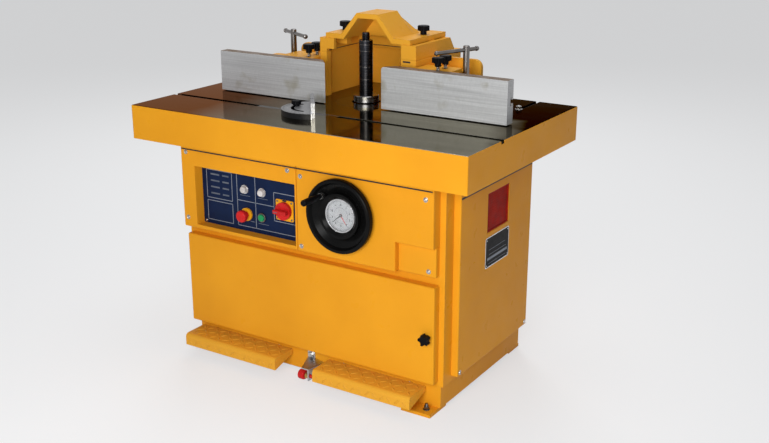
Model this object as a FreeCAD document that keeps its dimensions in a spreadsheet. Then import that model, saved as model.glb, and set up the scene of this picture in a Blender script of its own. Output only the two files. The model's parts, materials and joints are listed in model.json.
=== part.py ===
import FreeCAD, Part
import math
import os
import types

import Sketcher

# A spindle moulder: cast table on a sheet cabinet, raised spindle under a fence and hood,
# handwheel lift, two foot pedals. X runs along the table, Y from the operator to the back,
# Z up, with the floor at 0. Lengths are in millimetres and angles in degrees.
SIZES = {
    # place of the table's middle along Y, which centres the whole machine on its origin
    "table_y": 2,
    # clearances
    "running_fit": 0.05,
    "seat_gap": 0.3,
    "slide_gap": 0.3,
    "screw_gap": 0.3,
    # table
    "table_length": 1200,
    "table_width": 730,
    "table_height": 830,
    "apron_depth": 108,
    "apron_wall": 14,
    "plate_thickness": 14,
    "rib_wall": 16,
    "table_edge": 4,
    "mitre_slot_y": 161.5,
    "mitre_slot_width": 20,
    "mitre_slot_depth": 10,
    "bolt_slot_x": 465,
    "bolt_slot_width": 14,
    "bolt_slot_depth": 10,
    "bolt_slot_start": 205,
    "ring_radius": 99,
    "ring_thickness": 10,
    "ring_hole_radius": 46,
    "ring_ledge": 11,
    # cabinet and plinth
    "cabinet_width": 956,
    "cabinet_front": 254,
    "cabinet_rear": 280,
    "cabinet_bottom": 85,
    "sheet": 4,
    "plinth_inset": 13,
    "plinth_front_inset": 10,
    "plinth_rear_step": 7,
    "plinth_wall": 6,
    "foot_thickness": 10,
    "foot_width": 100,
    "foot_inset": 4,
    "foot_front_reach": 56,
    "foot_left_reach": 40,
    "foot_rear_reach": 13,
    "foot_front_tuck": 41,
    "foot_rear_tuck": 61,
    "foot_bolt_inset": 28,
    "foot_bolt_radius": 7,
    # covers
    "cover_depth": 38,
    "cover_sheet": 3,
    "cover_edge": 4,
    "cover_left_inset": 8,
    "cover_right_inset": 19,
    "cover_drop": 7,
    "cover_height": 283,
    "cover_split": 15,
    "cover_seam": 2,
    "window_left_inset": 55,
    "window_right_inset": 5,
    "window_drop": 75,
    "window_height": 195,
    "window_land": 12,
    "joggle_width": 126,
    "joggle_height": 91,
    "joggle_step": 18,
    "access_size": 220,
    "panel_thickness": 3,
    "panel_margin": 1,
    # lower door
    "door_left_inset": 11,
    "door_right_inset": 18,
    "door_lift": 14,
    "door_drop": 27,
    "door_depth": 28,
    "door_gap": 1,
    "door_land": 55,
    "hinge_offset": 7,
    "hinge_forward": 8,
    "hinge_radius": 6,
    "hinge_pin_radius": 3,
    "hinge_height": 25,
    "hinge_inset": 40,
    "door_knob_inset": 20,
    "door_knob_drop": 4,
    "door_knob_radius": 17.5,
    "door_knob_lobes": 5,
    "door_knob_flute": 8,
    "door_knob_flute_depth": 5.5,
    "door_knob_head": 16,
    "door_knob_neck": 12,
    "door_knob_neck_radius": 9,
    "door_stud_radius": 4,
    "door_stud_play": 3,
    "door_stud_reach": 6,
    # side covers
    "side_depth": 22,
    "side_front_inset": 46,
    "side_rear_inset": 14,
    "side_lift": 19,
    "vent_front": 40,
    "vent_rear": 102,
    "vent_drop": 85,
    "vent_height": 123,
    # spindle and its drive
    "spindle_y": 72,
    "collar_radius": 41,
    "collar_height": 22,
    "collar_lift": 1,
    "collar_chamfer": 2,
    "arbor_radius": 15,
    "spacer_radius": 21.75,
    "tall_spacer": 50,
    "middle_spacer": 40,
    "short_spacer": 20,
    "thin_spacer": 13,
    "tip_radius": 11.5,
    "tip_height": 24,
    "tip_chamfer": 2,
    "neck_radius": 20,
    "journal_radius": 17.5,
    "pulley_seat_radius": 14,
    "quill_radius": 50,
    "quill_height": 240,
    "quill_drop": 30,
    "bearing_radius": 36,
    "bearing_width": 25,
    "bearing_inset": 6,
    "step_radius": 40,
    "step_rise": 10,
    "step_height": 24,
    "pulley_gap": 6,
    "motor_offset": 230,
    "motor_radius": 85,
    "motor_height": 205,
    "motor_spigot": 45,
    "motor_shaft_depth": 30,
    "terminal_width": 90,
    "terminal_depth": 40,
    "terminal_height": 80,
    "terminal_drop": 80,
    "belt_thickness": 6,
    "belt_width": 18,
    # lift
    "post_radius": 18,
    "post_x": 140,
    "post_front": 60,
    "post_pitch": 140,
    "slide_width": 56,
    "slide_height": 200,
    "slide_overhang": 25,
    "web_width": 44,
    "motor_plate": 16,
    "frame_plate": 16,
    "frame_left": 104,
    "frame_web": 15,
    "frame_web_gap": 35,
    "frame_front": 90,
    "frame_rear": 235,
    "frame_drop": 396,
    "screw_y": 20,
    "screw_radius": 12,
    "screw_end_radius": 8,
    "nut_width": 44,
    "nut_height": 40,
    "nut_drop": 45,
    "bevel_radius": 30,
    "bevel_face": 14,
    "bevel_hub": 15,
    "bevel_gap": 0.5,
    "shaft_radius": 10,
    "shaft_arm": 16,
    "shaft_arm_height": 50,
    # handwheel and dial
    "wheel_x": 155,
    "wheel_drop": 139,
    "wheel_radius": 113,
    "wheel_gap": 2,
    "wheel_web": 6,
    "rim_width": 17,
    "rim_height": 22,
    "rim_lift": 9,
    "rim_web": 11,
    "rim_round": 6,
    "hub_radius": 69,
    "hub_height": 23,
    "hub_lip": 8,
    "shaft_hole_play": 4,
    "dial_radius": 51,
    "dial_depth": 9,
    "dial_wall": 4,
    "dial_floor": 2,
    "dial_pin_radius": 2,
    "dial_pin_height": 4,
    "face_thickness": 1,
    "needle_thickness": 0.6,
    "needle_gap": 0.4,
    "needle_hub": 5,
    "needle_width": 3,
    "red_needle_length": 30,
    "black_needle_length": 38,
    "red_needle_angle": 35,
    "black_needle_angle": -50,
    "lens_thickness": 1.5,
    "lens_inset": 1,
    "crank_x": 57.5,
    "crank_z": 55,
    "crank_boss_radius": 11,
    "crank_boss_height": 16,
    "crank_bolt_radius": 4,
    "grip_length": 94,
    "grip_neck_radius": 7.5,
    "grip_neck_length": 10,
    "grip_radius": 10.5,
    "grip_swell": 55,
    "grip_tip_radius": 9.5,
    "grip_cap": 8,
    "grip_bolt_inset": 16,
    "grip_round": 3,
    # controls
    "lamp_left": 241,
    "lamp_right": 172,
    "lamp_drop": 58,
    "lamp_bezel_radius": 14,
    "lamp_bezel_height": 3,
    "lamp_radius": 11,
    "lamp_height": 14,
    "lamp_round": 4,
    "estop_x": 235,
    "estop_drop": 139,
    "estop_collar_radius": 21,
    "estop_collar_height": 6,
    "estop_radius": 19,
    "estop_head": 14,
    "estop_reach": 36,
    "estop_stem_radius": 10,
    "estop_round": 5,
    "start_x": 175,
    "start_drop": 140,
    "start_radius": 11,
    "start_reach": 10,
    "start_round": 2,
    "button_tail": 10,
    "switch_x": 84,
    "switch_drop": 101,
    "switch_plate": 66,
    "switch_plate_height": 4,
    "switch_plate_edge": 4,
    "switch_disc_radius": 28,
    "switch_disc_height": 12,
    "switch_bar_length": 50,
    "switch_bar_width": 13,
    "switch_bar_height": 18,
    "switch_bar_round": 3,
    # pedals
    "pedal_reach": 98,
    "pedal_gap": 6,
    "pedal_top": 72,
    "pedal_plate": 4,
    "pedal_lip": 39,
    "pedal_bend": 12,
    "pedal_end_rear": 16,
    "lock_inset": 29,
    "lock_right": 78,
    "brake_left": 66,
    "brake_inset": 63,
    "pedal_arm_inset": 55,
    "pedal_arm": 8,
    "pedal_arm_height": 28,
    "pedal_hub_radius": 18,
    "pedal_slot_play": 4,
    "pedal_slot_bottom": 18,
    "pedal_slot_top": 70,
    "pedal_pivot_inset": 94,
    "pedal_pivot_z": 52,
    "pedal_shaft_radius": 10,
    # latch between the pedals
    "latch_x": -4,
    "latch_tab_width": 27,
    "latch_tab_top": 83,
    "latch_sheet": 4,
    "latch_plate_z": 59,
    "latch_plate_reach": 76,
    "latch_plate_right": 55,
    "latch_plate_rear": 7,
    "latch_front_left": 17,
    "latch_front_right": 43,
    "latch_lug_margin": 12,
    "latch_knob_radius": 16,
    "latch_knob_length": 22,
    "latch_knob_round": 5,
    "latch_knob_drop": 28,
    "latch_knob_gap": 16,
    "latch_stud_radius": 6,
    "latch_stud_reach": 13,
    # fence body and hood
    "hood_width": 360,
    "hood_front": 76,
    "hood_rear": 366,
    "body_height": 145,
    "hood_wall": 12,
    "pillar_width": 26,
    "pillar_depth": 24,
    "wing_reach": 344,
    "wing_y": 195,
    "wing_wall": 14,
    "wing_round": 25,
    "flange_front": 62,
    "flange_height": 18,
    "shelf_clear": 2,
    "shelf_reach": 300,
    "shelf_height": 14,
    "shelf_rise": 112,
    "port_rise": 73,
    "port_radius": 50,
    "port_wall": 3,
    "port_length": 40,
    "shell_height": 45,
    "shell_wall": 16,
    "shell_rear": 320,
    "shell_top_rear": 293,
    "shell_step": 7,
    "shell_pillar": 54,
    "shell_pillar_low": 26,
    "shell_pillar_step": 10,
    "lid_width": 316,
    "lid_front": 78,
    "lid_rear": 301,
    "lid_thickness": 16,
    "hump_foot": 196,
    "hump_top": 78,
    "hump_height": 70,
    "hump_wall": 16,
    "hump_inner_foot": 180,
    "hump_inner_top": 68,
    "hump_rear": 235,
    "hump_rear_top": 210,
    "hump_end": 14,
    "lid_edge": 3,
    "lid_knob_x": 129,
    "lid_knob_y": 209,
    "left_lid_knob_x": 140,
    "left_lid_knob_y": 165,
    "lid_boss_width": 28,
    "lid_boss_height": 28,
    # clamp knobs
    "knob_radius": 19,
    "knob_head": 16,
    "knob_neck_radius": 10,
    "knob_neck": 12,
    "knob_stud_radius": 5,
    "knob_stud": 12,
    "knob_round": 3,
    "knob_flutes": 6,
    "knob_flute_radius": 6,
    "knob_flute_depth": 3,
    # fences and carriers
    "fence_lift": 3,
    "fence_height": 130,
    "fence_thickness": 38,
    "fence_edge": 3,
    "fence_corner": 10,
    "right_fence_start": 107,
    "right_fence_end": 535,
    "right_fence_front": 8,
    "left_fence_start": 86,
    "left_fence_end": 508,
    "left_fence_front": 32,
    "fence_slot_mouth": 12,
    "fence_slot_width": 24,
    "fence_slot_depth": 18,
    "fence_slot_lip": 8,
    "carrier_gap": 6,
    "carrier_end": 480,
    "carrier_plate": 8,
    "carrier_rise": 14,
    "carrier_lift": 6,
    "ledge_end": 345,
    "ledge_rear": 140,
    "ledge_round": 12,
    "post_play": 5,
    "carrier_knob_x": 265,
    "left_carrier_knob_x": 216,
    "carrier_knob_front": 64,
    "carrier_knob_pitch": 46,
    "carrier_travel": 10,
    "notch_gap": 4,
    # T-handles
    "handle_x": 326,
    "handle_y": 130,
    "handle_radius": 10,
    "handle_height": 198,
    "handle_stud_radius": 8,
    "handle_bar_drop": 13,
    "handle_bar_radius": 6,
    "handle_bar_length": 166,
    "right_bar_angle": 69,
    "right_bar_shift": -38,
    "left_bar_angle": -29,
    "left_bar_shift": 15,
    "handle_chamfer": 2,
    "fence_unit_back": 40,
    "fence_unit_front": 20,
    # mitre gauge
    "mitre_x": -45,
    "mitre_angle": 37,
    "mitre_radius": 93,
    "mitre_thickness": 17,
    "mitre_face_length": 150,
    "mitre_face_height": 45,
    "mitre_face_thickness": 8,
    "mitre_slot_radius": 58,
    "mitre_slot_sweep": 130,
    "mitre_pin_radius": 5,
    "mitre_knob_radius": 15,
    "mitre_knob_neck": 4,
    "mitre_knob_head": 12,
    "mitre_bar_left": 205,
    "mitre_bar_right": 95,
}

NEAR = 0.01
FULL_TURN = 360
PLANES = {"XY": ("XY_Plane", 1), "XZ": ("XZ_Plane", -1), "YZ": ("YZ_Plane", 1)}
TURNS = {
    "Z": FreeCAD.Rotation(),
    "X": FreeCAD.Rotation(FreeCAD.Vector(0, 1, 0), 90),
    "Y": FreeCAD.Rotation(FreeCAD.Vector(1, 0, 0), -90),
    "-Y": FreeCAD.Rotation(FreeCAD.Vector(1, 0, 0), 90),
}

doc = FreeCAD.newDocument("spindle_moulder")
sheet = doc.addObject("Spreadsheet::Sheet", "sizes")
for row, (alias, amount) in enumerate(SIZES.items(), 1):
    sheet.set(f"A{row}", alias)
    sheet.set(f"B{row}", str(amount))
    sheet.setAlias(f"B{row}", alias)
doc.recompute()


class Size:
    """A size that keeps both its value and the expression that ties it to the sheet."""

    def __init__(self, amount, words):
        self.amount = amount
        self.words = words

    def __add__(self, other):
        return Size(self.amount + number(other), f"({self.words} + {formula(other)})")

    def __radd__(self, other):
        return Size(number(other) + self.amount, f"({formula(other)} + {self.words})")

    def __sub__(self, other):
        return Size(self.amount - number(other), f"({self.words} - {formula(other)})")

    def __rsub__(self, other):
        return Size(number(other) - self.amount, f"({formula(other)} - {self.words})")

    def __mul__(self, factor):
        return Size(self.amount * number(factor), f"({self.words} * {formula(factor)})")

    __rmul__ = __mul__

    def __truediv__(self, factor):
        return Size(self.amount / number(factor), f"({self.words} / {formula(factor)})")

    def __neg__(self):
        return Size(-self.amount, f"(0 - {self.words})")


def number(size):
    return size.amount if isinstance(size, Size) else float(size)


def formula(size):
    return size.words if isinstance(size, Size) else repr(float(size))


S = types.SimpleNamespace(
    **{alias: Size(float(sheet.get(alias)), f"sizes.{alias}") for alias in SIZES}
)


def span(middle, size):
    return (middle - size / 2, middle + size / 2)


# Places that several pieces share
zero = Size(0.0, "0")
mid = S.table_y
table_top = S.table_height
table_bottom = table_top - S.apron_depth
plate_bottom = table_top - S.plate_thickness
cabinet_side_x = S.cabinet_width / 2
cabinet_face = mid - S.cabinet_front
cabinet_back = mid + S.cabinet_rear
cabinet_across = span(zero, S.cabinet_width)
plinth_side = cabinet_side_x - S.plinth_inset
plinth_face = cabinet_face + S.plinth_front_inset
plinth_back = cabinet_back + S.plinth_rear_step
foot_edge = plinth_side - S.foot_inset

# Covers and door
cover_face = cabinet_face - S.cover_depth
cover_left = cabinet_side_x - S.cover_left_inset
cover_right = cabinet_side_x - S.cover_right_inset
cover_top = table_bottom - S.cover_drop
cover_bottom = cover_top - S.cover_height
window_across = (-cover_left + S.window_left_inset, -S.cover_split - S.window_right_inset)
window_top = cover_top - S.window_drop
window_up = (window_top - S.window_height, window_top)
joggle_left = cover_right - S.joggle_width
joggle_top = cover_bottom + S.joggle_height
panel_face = cabinet_face - S.panel_thickness
door_face = cabinet_face - S.door_gap - S.door_depth
door_left = cabinet_side_x - S.door_left_inset
door_right = cabinet_side_x - S.door_right_inset
door_bottom = S.cabinet_bottom + S.door_lift
door_top = cover_bottom - S.door_drop
door_hinge_x = -door_left - S.hinge_offset
door_hinge_y = cabinet_face - S.hinge_forward
hinge_places = (door_bottom + S.hinge_inset, door_top - S.hinge_inset)
door_knob_at = (door_right - S.door_knob_inset, (door_bottom + door_top) / 2 - S.door_knob_drop)
vent_top = cover_top - S.vent_drop
vent = ((mid - S.vent_front, mid + S.vent_rear), (vent_top - S.vent_height, vent_top))

# Controls and handwheel
lamp_z = window_top - S.lamp_drop
estop_at = (-S.estop_x, window_top - S.estop_drop)
start_at = (-S.start_x, window_top - S.start_drop)
switch_at = (-S.switch_x, window_top - S.switch_drop)
wheel_z = cover_top - S.wheel_drop
wheel_at = (S.wheel_x, wheel_z)
wheel_back = cover_face - S.wheel_gap
dial_back = wheel_back - S.wheel_web - S.seat_gap
crank_at = (S.wheel_x - S.crank_x, wheel_z + S.crank_z)
crank_face = wheel_back - S.wheel_web - S.crank_boss_height

# Spindle, motor and lift
STEPS = 4
spindle_y = mid + S.spindle_y
quill_top = table_top - S.quill_drop
quill_bottom = quill_top - S.quill_height
pulley_top = quill_bottom - S.pulley_gap
pulley_bottom = pulley_top - S.step_height * STEPS
motor_x = -S.motor_offset
motor_seat = quill_bottom + S.motor_plate
collar_bottom = table_top + S.collar_lift
collar_top = collar_bottom + S.collar_height
spacers = (S.tall_spacer, S.middle_spacer, S.tall_spacer, S.short_spacer, S.thin_spacer)
arbor_top = sum(spacers, collar_top)
screw_x = S.wheel_x
screw_place_y = mid - S.screw_y
frame_bottom = plate_bottom - S.frame_drop
frame_web_x = screw_x + S.frame_web_gap
frame_bottom_top = frame_bottom + S.frame_plate
frame_top_bottom = plate_bottom - S.frame_plate

# Pedals and latch
pivot_y = plinth_face + S.pedal_pivot_inset
shaft_end = plinth_side - S.plinth_wall / 2
shaft_ends = (-shaft_end, shaft_end)
lock_span = (-cabinet_side_x + S.lock_inset, -S.lock_right)
brake_span = (S.brake_left, cabinet_side_x - S.brake_inset)
latch_face = plinth_face - S.latch_sheet
latch_front = latch_face - S.latch_plate_reach
latch_lug_x = S.latch_x + S.latch_front_right
latch_knob_at = (latch_front + S.latch_lug_margin, S.latch_plate_z - S.latch_knob_drop)

# Fence, hood and mitre gauge
hood_side = S.hood_width / 2
hood_split = table_top + S.body_height
shelf_top = table_top + S.shelf_rise
shelf_front = mid - S.right_fence_front + S.fence_thickness + S.carrier_travel + S.shelf_clear
shell_top = hood_split + S.shell_height
lid_top = shell_top + S.lid_thickness
carrier_start = hood_side + S.carrier_gap
carrier_top = shelf_top + S.carrier_rise
fence_bottom = table_top + S.fence_lift
handle_y = mid + S.handle_y
handle_top = table_top + S.handle_height
mitre_y = mid - S.mitre_slot_y
head_bottom = table_top + S.seat_gap
head_top = head_bottom + S.mitre_thickness


def tie(item, prop, size):
    """Bind one property to an expression of the sheet."""
    item.setExpression(prop, formula(size))


def put(item, x, y, z, turn=FreeCAD.Rotation()):
    """Place an item, with its position bound to the sheet."""
    item.Placement = FreeCAD.Placement(FreeCAD.Vector(), turn)
    for axis, size in zip("xyz", (x, y, z)):
        tie(item, "Placement.Base." + axis, size)
    return item


def flip(pair):
    """The same span on the other side of the middle plane."""
    return (-pair[1], -pair[0])


def side(pair, sign):
    return pair if sign > 0 else flip(pair)


def side_of(place, reach):
    """The span from a place to another that lies a signed reach away."""
    return (place, place + reach) if number(reach) > 0 else (place + reach, place)


def box(x, y, z):
    item = doc.addObject("Part::Box", "block")
    for prop, pair in zip(("Length", "Width", "Height"), (x, y, z)):
        tie(item, prop, pair[1] - pair[0])
    return put(item, x[0], y[0], z[0])


def rod(axis, at, radius, ends):
    """A cylinder along X, Y or Z, where at holds its two other coordinates in order."""
    item = doc.addObject("Part::Cylinder", "rod")
    tie(item, "Radius", radius)
    tie(item, "Height", ends[1] - ends[0])
    place = list(at)
    place.insert("XYZ".index(axis), ends[0])
    return put(item, *place, TURNS[axis])


def cone(axis, at, ends, radii):
    item = doc.addObject("Part::Cone", "cone")
    tie(item, "Radius1", radii[0])
    tie(item, "Radius2", radii[1])
    tie(item, "Height", ends[1] - ends[0])
    place = list(at)
    place.insert("XYZ".index(axis), ends[0])
    return put(item, *place, TURNS[axis])


def fuse(*items):
    joined = doc.addObject("Part::MultiFuse", "joined")
    joined.Shapes = list(items)
    joined.Refine = True
    return joined


def cut(base, *tools):
    result = doc.addObject("Part::Cut", "trimmed")
    result.Base = base
    result.Tool = fuse(*tools) if len(tools) > 1 else tools[0]
    result.Refine = True
    return result


def group(*items):
    bundle = doc.addObject("Part::Compound", "bundle")
    bundle.Links = list(items)
    return bundle


def new_body(name):
    return doc.addObject("PartDesign::Body", name)


def rectangle(across, up):
    return [(across[0], up[0]), (across[1], up[0]), (across[1], up[1]), (across[0], up[1])]


def circle(at, radius):
    return ("circle", at, radius)


def hold_point(sketch, geometry, point, place):
    """Dimension one point of a sketch from the sketch's origin."""
    for kind, size in zip(("DistanceX", "DistanceY"), place):
        rule = Sketcher.Constraint(kind, -1, 1, geometry, point, number(size))
        index = sketch.addConstraint(rule)
        if isinstance(size, Size):
            tie(sketch, f"Constraints[{index}]", size)


def draw(body, plane, loops, start):
    """A sketch on one of the body's own planes, of polygons and circles, all dimensioned."""
    role, sign = PLANES[plane]
    sketch = body.newObject("Sketcher::SketchObject", "outline")
    base = next(f for f in body.Origin.OriginFeatures if f.Role == role)
    sketch.AttachmentSupport = [(base, "")]
    sketch.MapMode = "FlatFace"
    tie(sketch, "AttachmentOffset.Base.z", start * sign)
    for loop in loops:
        first = len(sketch.Geometry)
        if loop[0] == "circle":
            middle = FreeCAD.Vector(number(loop[1][0]), number(loop[1][1]), 0)
            sketch.addGeometry(Part.Circle(middle, FreeCAD.Vector(0, 0, 1), number(loop[2])))
            hold_point(sketch, first, 3, loop[1])
            index = sketch.addConstraint(Sketcher.Constraint("Radius", first, number(loop[2])))
            tie(sketch, f"Constraints[{index}]", loop[2])
            continue
        corners = [FreeCAD.Vector(number(a), number(b), 0) for a, b in loop]
        count = len(corners)
        for i in range(count):
            sketch.addGeometry(Part.LineSegment(corners[i], corners[(i + 1) % count]))
        for i in range(count):
            after = first + (i + 1) % count
            sketch.addConstraint(Sketcher.Constraint("Coincident", first + i, 2, after, 1))
        for i, place in enumerate(loop):
            hold_point(sketch, first + i, 1, place)
    return sketch


def pad(body, plane, loops, start, end):
    """Add material between two places along the plane's axis, start below end."""
    feature = body.newObject("PartDesign::Pad", "pad")
    feature.Profile = draw(body, plane, loops, start)
    tie(feature, "Length", end - start)
    feature.Reversed = PLANES[plane][1] < 0
    return body


def pocket(body, plane, loops, start, end):
    """Take material away between two places along the plane's axis, start below end."""
    feature = body.newObject("PartDesign::Pocket", "pocket")
    feature.Profile = draw(body, plane, loops, start)
    tie(feature, "Length", end - start)
    feature.Reversed = PLANES[plane][1] > 0
    return body


def turned(axis, at, profile):
    """A body of revolution, from points of radius and distance along the axis from its foot."""
    body = new_body("turned")
    feature = body.newObject("PartDesign::Revolution", "turn")
    sketch = draw(body, "XZ", [profile], zero)
    feature.Profile = sketch
    feature.ReferenceAxis = (sketch, ["V_Axis"])
    feature.Angle = FULL_TURN
    put(body, *at, TURNS[axis])
    return body


def reaches(edge, axis):
    """The lowest and highest place of an edge along one axis."""
    limits = edge.BoundBox
    return {
        "x": (limits.XMin, limits.XMax),
        "y": (limits.YMin, limits.YMax),
        "z": (limits.ZMin, limits.ZMax),
    }[axis]


def lies_at(edge, axis, place):
    low, high = reaches(edge, axis)
    return abs(low - number(place)) < NEAR and abs(high - number(place)) < NEAR


def runs_along(edge, axis):
    others = [other for other in "xyz" if other != axis]
    return all(reaches(edge, o)[1] - reaches(edge, o)[0] < NEAR for o in others)


def soften(body, radius, chosen):
    """Round the edges of a body, in its own frame, that a test picks."""
    doc.recompute()
    tip = body.Tip
    names = [f"Edge{i}" for i, edge in enumerate(tip.Shape.Edges, 1) if chosen(edge)]
    feature = body.newObject("PartDesign::Fillet", "soft_edge")
    feature.Base = (tip, names)
    tie(feature, "Radius", radius)
    return body


def pan(plane, across, up, face, back, depth_axis):
    """A block for a folded sheet cover, with its face and corners rounded."""
    low, high = (face, back) if number(back) > number(face) else (back, face)
    body = pad(new_body("pan"), plane, [rectangle(across, up)], low, high)

    def outside(edge):
        return lies_at(edge, depth_axis, face) or runs_along(edge, depth_axis)

    return soften(body, S.cover_edge, outside)


def inner(pair, wall):
    return (pair[0] + wall, pair[1] - wall)


def front_pan(across, up, face, back):
    """A folded cover on the front, open at its back."""
    body = pan("XZ", across, up, face, back, "y")
    hollow = rectangle(inner(across, S.cover_sheet), inner(up, S.cover_sheet))
    return pocket(body, "XZ", [hollow], face + S.cover_sheet, back)


def side_pan(sign):
    """A side cover, standing off the cabinet's side."""
    along = (cabinet_face + S.side_front_inset, cabinet_back - S.side_rear_inset)
    up = (S.cabinet_bottom + S.side_lift, cover_top)
    wall = cabinet_side_x
    back = wall if sign > 0 else -wall
    face = wall + S.side_depth if sign > 0 else -(wall + S.side_depth)
    body = pan("YZ", along, up, face, back, "x")
    hollow = [rectangle(inner(along, S.cover_sheet), inner(up, S.cover_sheet))]
    if sign > 0:
        return pocket(body, "YZ", hollow, back, face - S.cover_sheet)
    return pocket(body, "YZ", hollow, face + S.cover_sheet, back)


def arm_places(pair):
    return (pair[0] + S.pedal_arm_inset, pair[1] - S.pedal_arm_inset)


# Base and cabinet
def base_plinth():
    """Welded plinth with a foot plate at each corner, slotted for the pedal arms."""
    across = (-plinth_side, plinth_side)
    along = (plinth_face, plinth_back)
    height = (S.foot_thickness, S.cabinet_bottom)
    wall = S.plinth_wall
    frame = cut(box(across, along, height), box(inner(across, wall), inner(along, wall), height))
    rear = (plinth_back - S.foot_rear_tuck, plinth_back + S.foot_rear_reach)
    front_bolt = plinth_face - S.foot_front_reach + S.foot_bolt_inset
    feet, holes = [], []
    for sign, reach in ((-1, S.foot_left_reach), (1, S.foot_front_reach)):
        front = (plinth_face - reach, plinth_face + S.foot_front_tuck)
        across_foot = side((foot_edge - S.foot_width, foot_edge), sign)
        bolt_x = (foot_edge - S.foot_bolt_inset) * sign
        for along_foot, bolt_y in ((front, front_bolt), (rear, rear[1] - S.foot_bolt_inset)):
            thickness = (zero, S.foot_thickness)
            feet.append(box(across_foot, along_foot, thickness))
            holes.append(rod("Z", (bolt_x, bolt_y), S.foot_bolt_radius, thickness))
    slot_width = S.pedal_arm + S.pedal_slot_play * 2
    slot_along = (plinth_face - wall, plinth_face + wall * 2)
    for place in (*arm_places(lock_span), *arm_places(brake_span)):
        slot_up = (S.pedal_slot_bottom, S.pedal_slot_top)
        holes.append(box(span(place, slot_width), slot_along, slot_up))
    hole = S.pedal_shaft_radius + S.running_fit
    holes.append(rod("X", (pivot_y, S.pedal_pivot_z), hole, shaft_ends))
    return cut(fuse(frame, *feet), *holes)


def hinge_half(at_z, lower):
    """Half of a lift-off hinge: the lower half carries the pin, the upper half the bush."""
    axis = (door_hinge_x, door_hinge_y)
    if lower:
        height = (at_z - S.hinge_height, at_z - S.seat_gap)
        tab = box(span(door_hinge_x, S.hinge_forward), (door_hinge_y, cabinet_face), height)
        pin_ends = (height[0], at_z + S.hinge_height - S.hinge_pin_radius)
        pin = rod("Z", axis, S.hinge_pin_radius, pin_ends)
        return [tab, rod("Z", axis, S.hinge_radius, height), pin]
    height = (at_z + S.seat_gap, at_z + S.hinge_height)
    reach = (door_hinge_x, -door_left + S.cover_sheet)
    tab = box(reach, span(door_hinge_y, S.hinge_forward), height)
    return [tab, rod("Z", axis, S.hinge_radius, height)]


def hinge_halves(lower):
    return [piece for place in hinge_places for piece in hinge_half(place, lower)]


def cabinet_front():
    """Front frame of the cabinet, open behind the controls, the handwheel and the door."""
    plate = (cabinet_face, cabinet_face + S.sheet)
    controls = rectangle(inner(window_across, S.window_land), inner(window_up, S.window_land))
    access = rectangle(span(S.wheel_x, S.access_size), span(wheel_z, S.access_size))
    doorway = rectangle(
        inner((-door_left, door_right), S.door_land), inner((door_bottom, door_top), S.door_land)
    )
    knob = circle(door_knob_at, S.door_stud_radius + S.door_stud_play)
    outline = rectangle(cabinet_across, (S.cabinet_bottom, table_bottom))
    body = pad(new_body("front"), "XZ", [outline, controls, access, doorway, knob], *plate)
    return fuse(body, *hinge_halves(True))


def cabinet_side(sign):
    along = (cabinet_face + S.sheet, cabinet_back - S.sheet)
    loops = [rectangle(along, (S.cabinet_bottom, table_bottom))]
    if sign > 0:
        loops.append(rectangle(*vent))
    across = side((cabinet_side_x - S.sheet, cabinet_side_x), sign)
    return pad(new_body("side"), "YZ", loops, *across)


def rear_cover():
    depth = (cabinet_back - S.sheet, cabinet_back)
    return box(cabinet_across, depth, (S.cabinet_bottom, table_bottom))


def control_cover():
    """Cover of the controls, with a window whose edges fold back to the panel."""
    across = (-cover_left, -S.cover_split - S.cover_seam / 2)
    body = front_pan(across, (cover_bottom, cover_top), cover_face, cabinet_face)
    window = [rectangle(window_across, window_up)]
    pocket(body, "XZ", window, cover_face - S.sheet, cover_face + S.cover_depth)
    fold = (cover_face + S.cover_sheet, panel_face)
    wall = S.cover_sheet
    left_edge = window_across[0]
    low_edge, high_edge = window_up
    left = box((left_edge - wall, left_edge), fold, (low_edge - wall, high_edge + wall))
    low = box(window_across, fold, (low_edge - wall, low_edge))
    high = box(window_across, fold, (high_edge, high_edge + wall))
    return fuse(body, left, low, high)


def control_panel():
    """Panel behind the window, drilled for the push buttons."""
    across = (window_across[0] - S.cover_sheet, window_across[1] - S.panel_margin)
    up = (window_up[0] - S.cover_sheet, window_up[1] + S.cover_sheet)
    holes = [
        circle(estop_at, S.estop_stem_radius + S.seat_gap),
        circle(start_at, S.start_radius + S.seat_gap),
    ]
    return pad(new_body("panel"), "XZ", [rectangle(across, up), *holes], panel_face, cabinet_face)


def wheel_cover():
    """Cover behind the handwheel, stepped back at its lower right corner."""
    left = -S.cover_split + S.cover_seam / 2

    def outline(wall):
        return [
            (left + wall, cover_bottom + wall),
            (joggle_left - wall, cover_bottom + wall),
            (joggle_left - wall, joggle_top + wall),
            (cover_right - wall, joggle_top + wall),
            (cover_right - wall, cover_top - wall),
            (left + wall, cover_top - wall),
        ]

    body = pad(new_body("wheel_cover"), "XZ", [outline(zero)], cover_face, cabinet_face)
    soften(body, S.cover_edge, lambda edge: lies_at(edge, "y", cover_face))
    pocket(body, "XZ", [outline(S.cover_sheet)], cover_face + S.cover_sheet, cabinet_face)
    step_face = cover_face + S.joggle_step
    step = front_pan((joggle_left, cover_right), (cover_bottom, joggle_top), step_face, cabinet_face)
    hole = S.shaft_radius + S.shaft_hole_play
    return cut(fuse(body, step), rod("Y", wheel_at, hole, (cover_face, cabinet_face)))


def lower_door():
    """Sheet door on two lift-off hinges at its left edge."""
    back = cabinet_face - S.door_gap
    leaf = front_pan((-door_left, door_right), (door_bottom, door_top), door_face, back)
    bore = S.hinge_pin_radius + S.running_fit
    axis = (door_hinge_x, door_hinge_y)
    bores = [rod("Z", axis, bore, (place, place + S.hinge_height)) for place in hinge_places]
    bores.append(rod("Y", door_knob_at, S.door_stud_radius + S.screw_gap, (door_face, back)))
    return cut(fuse(leaf, *hinge_halves(False)), *bores)


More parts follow.
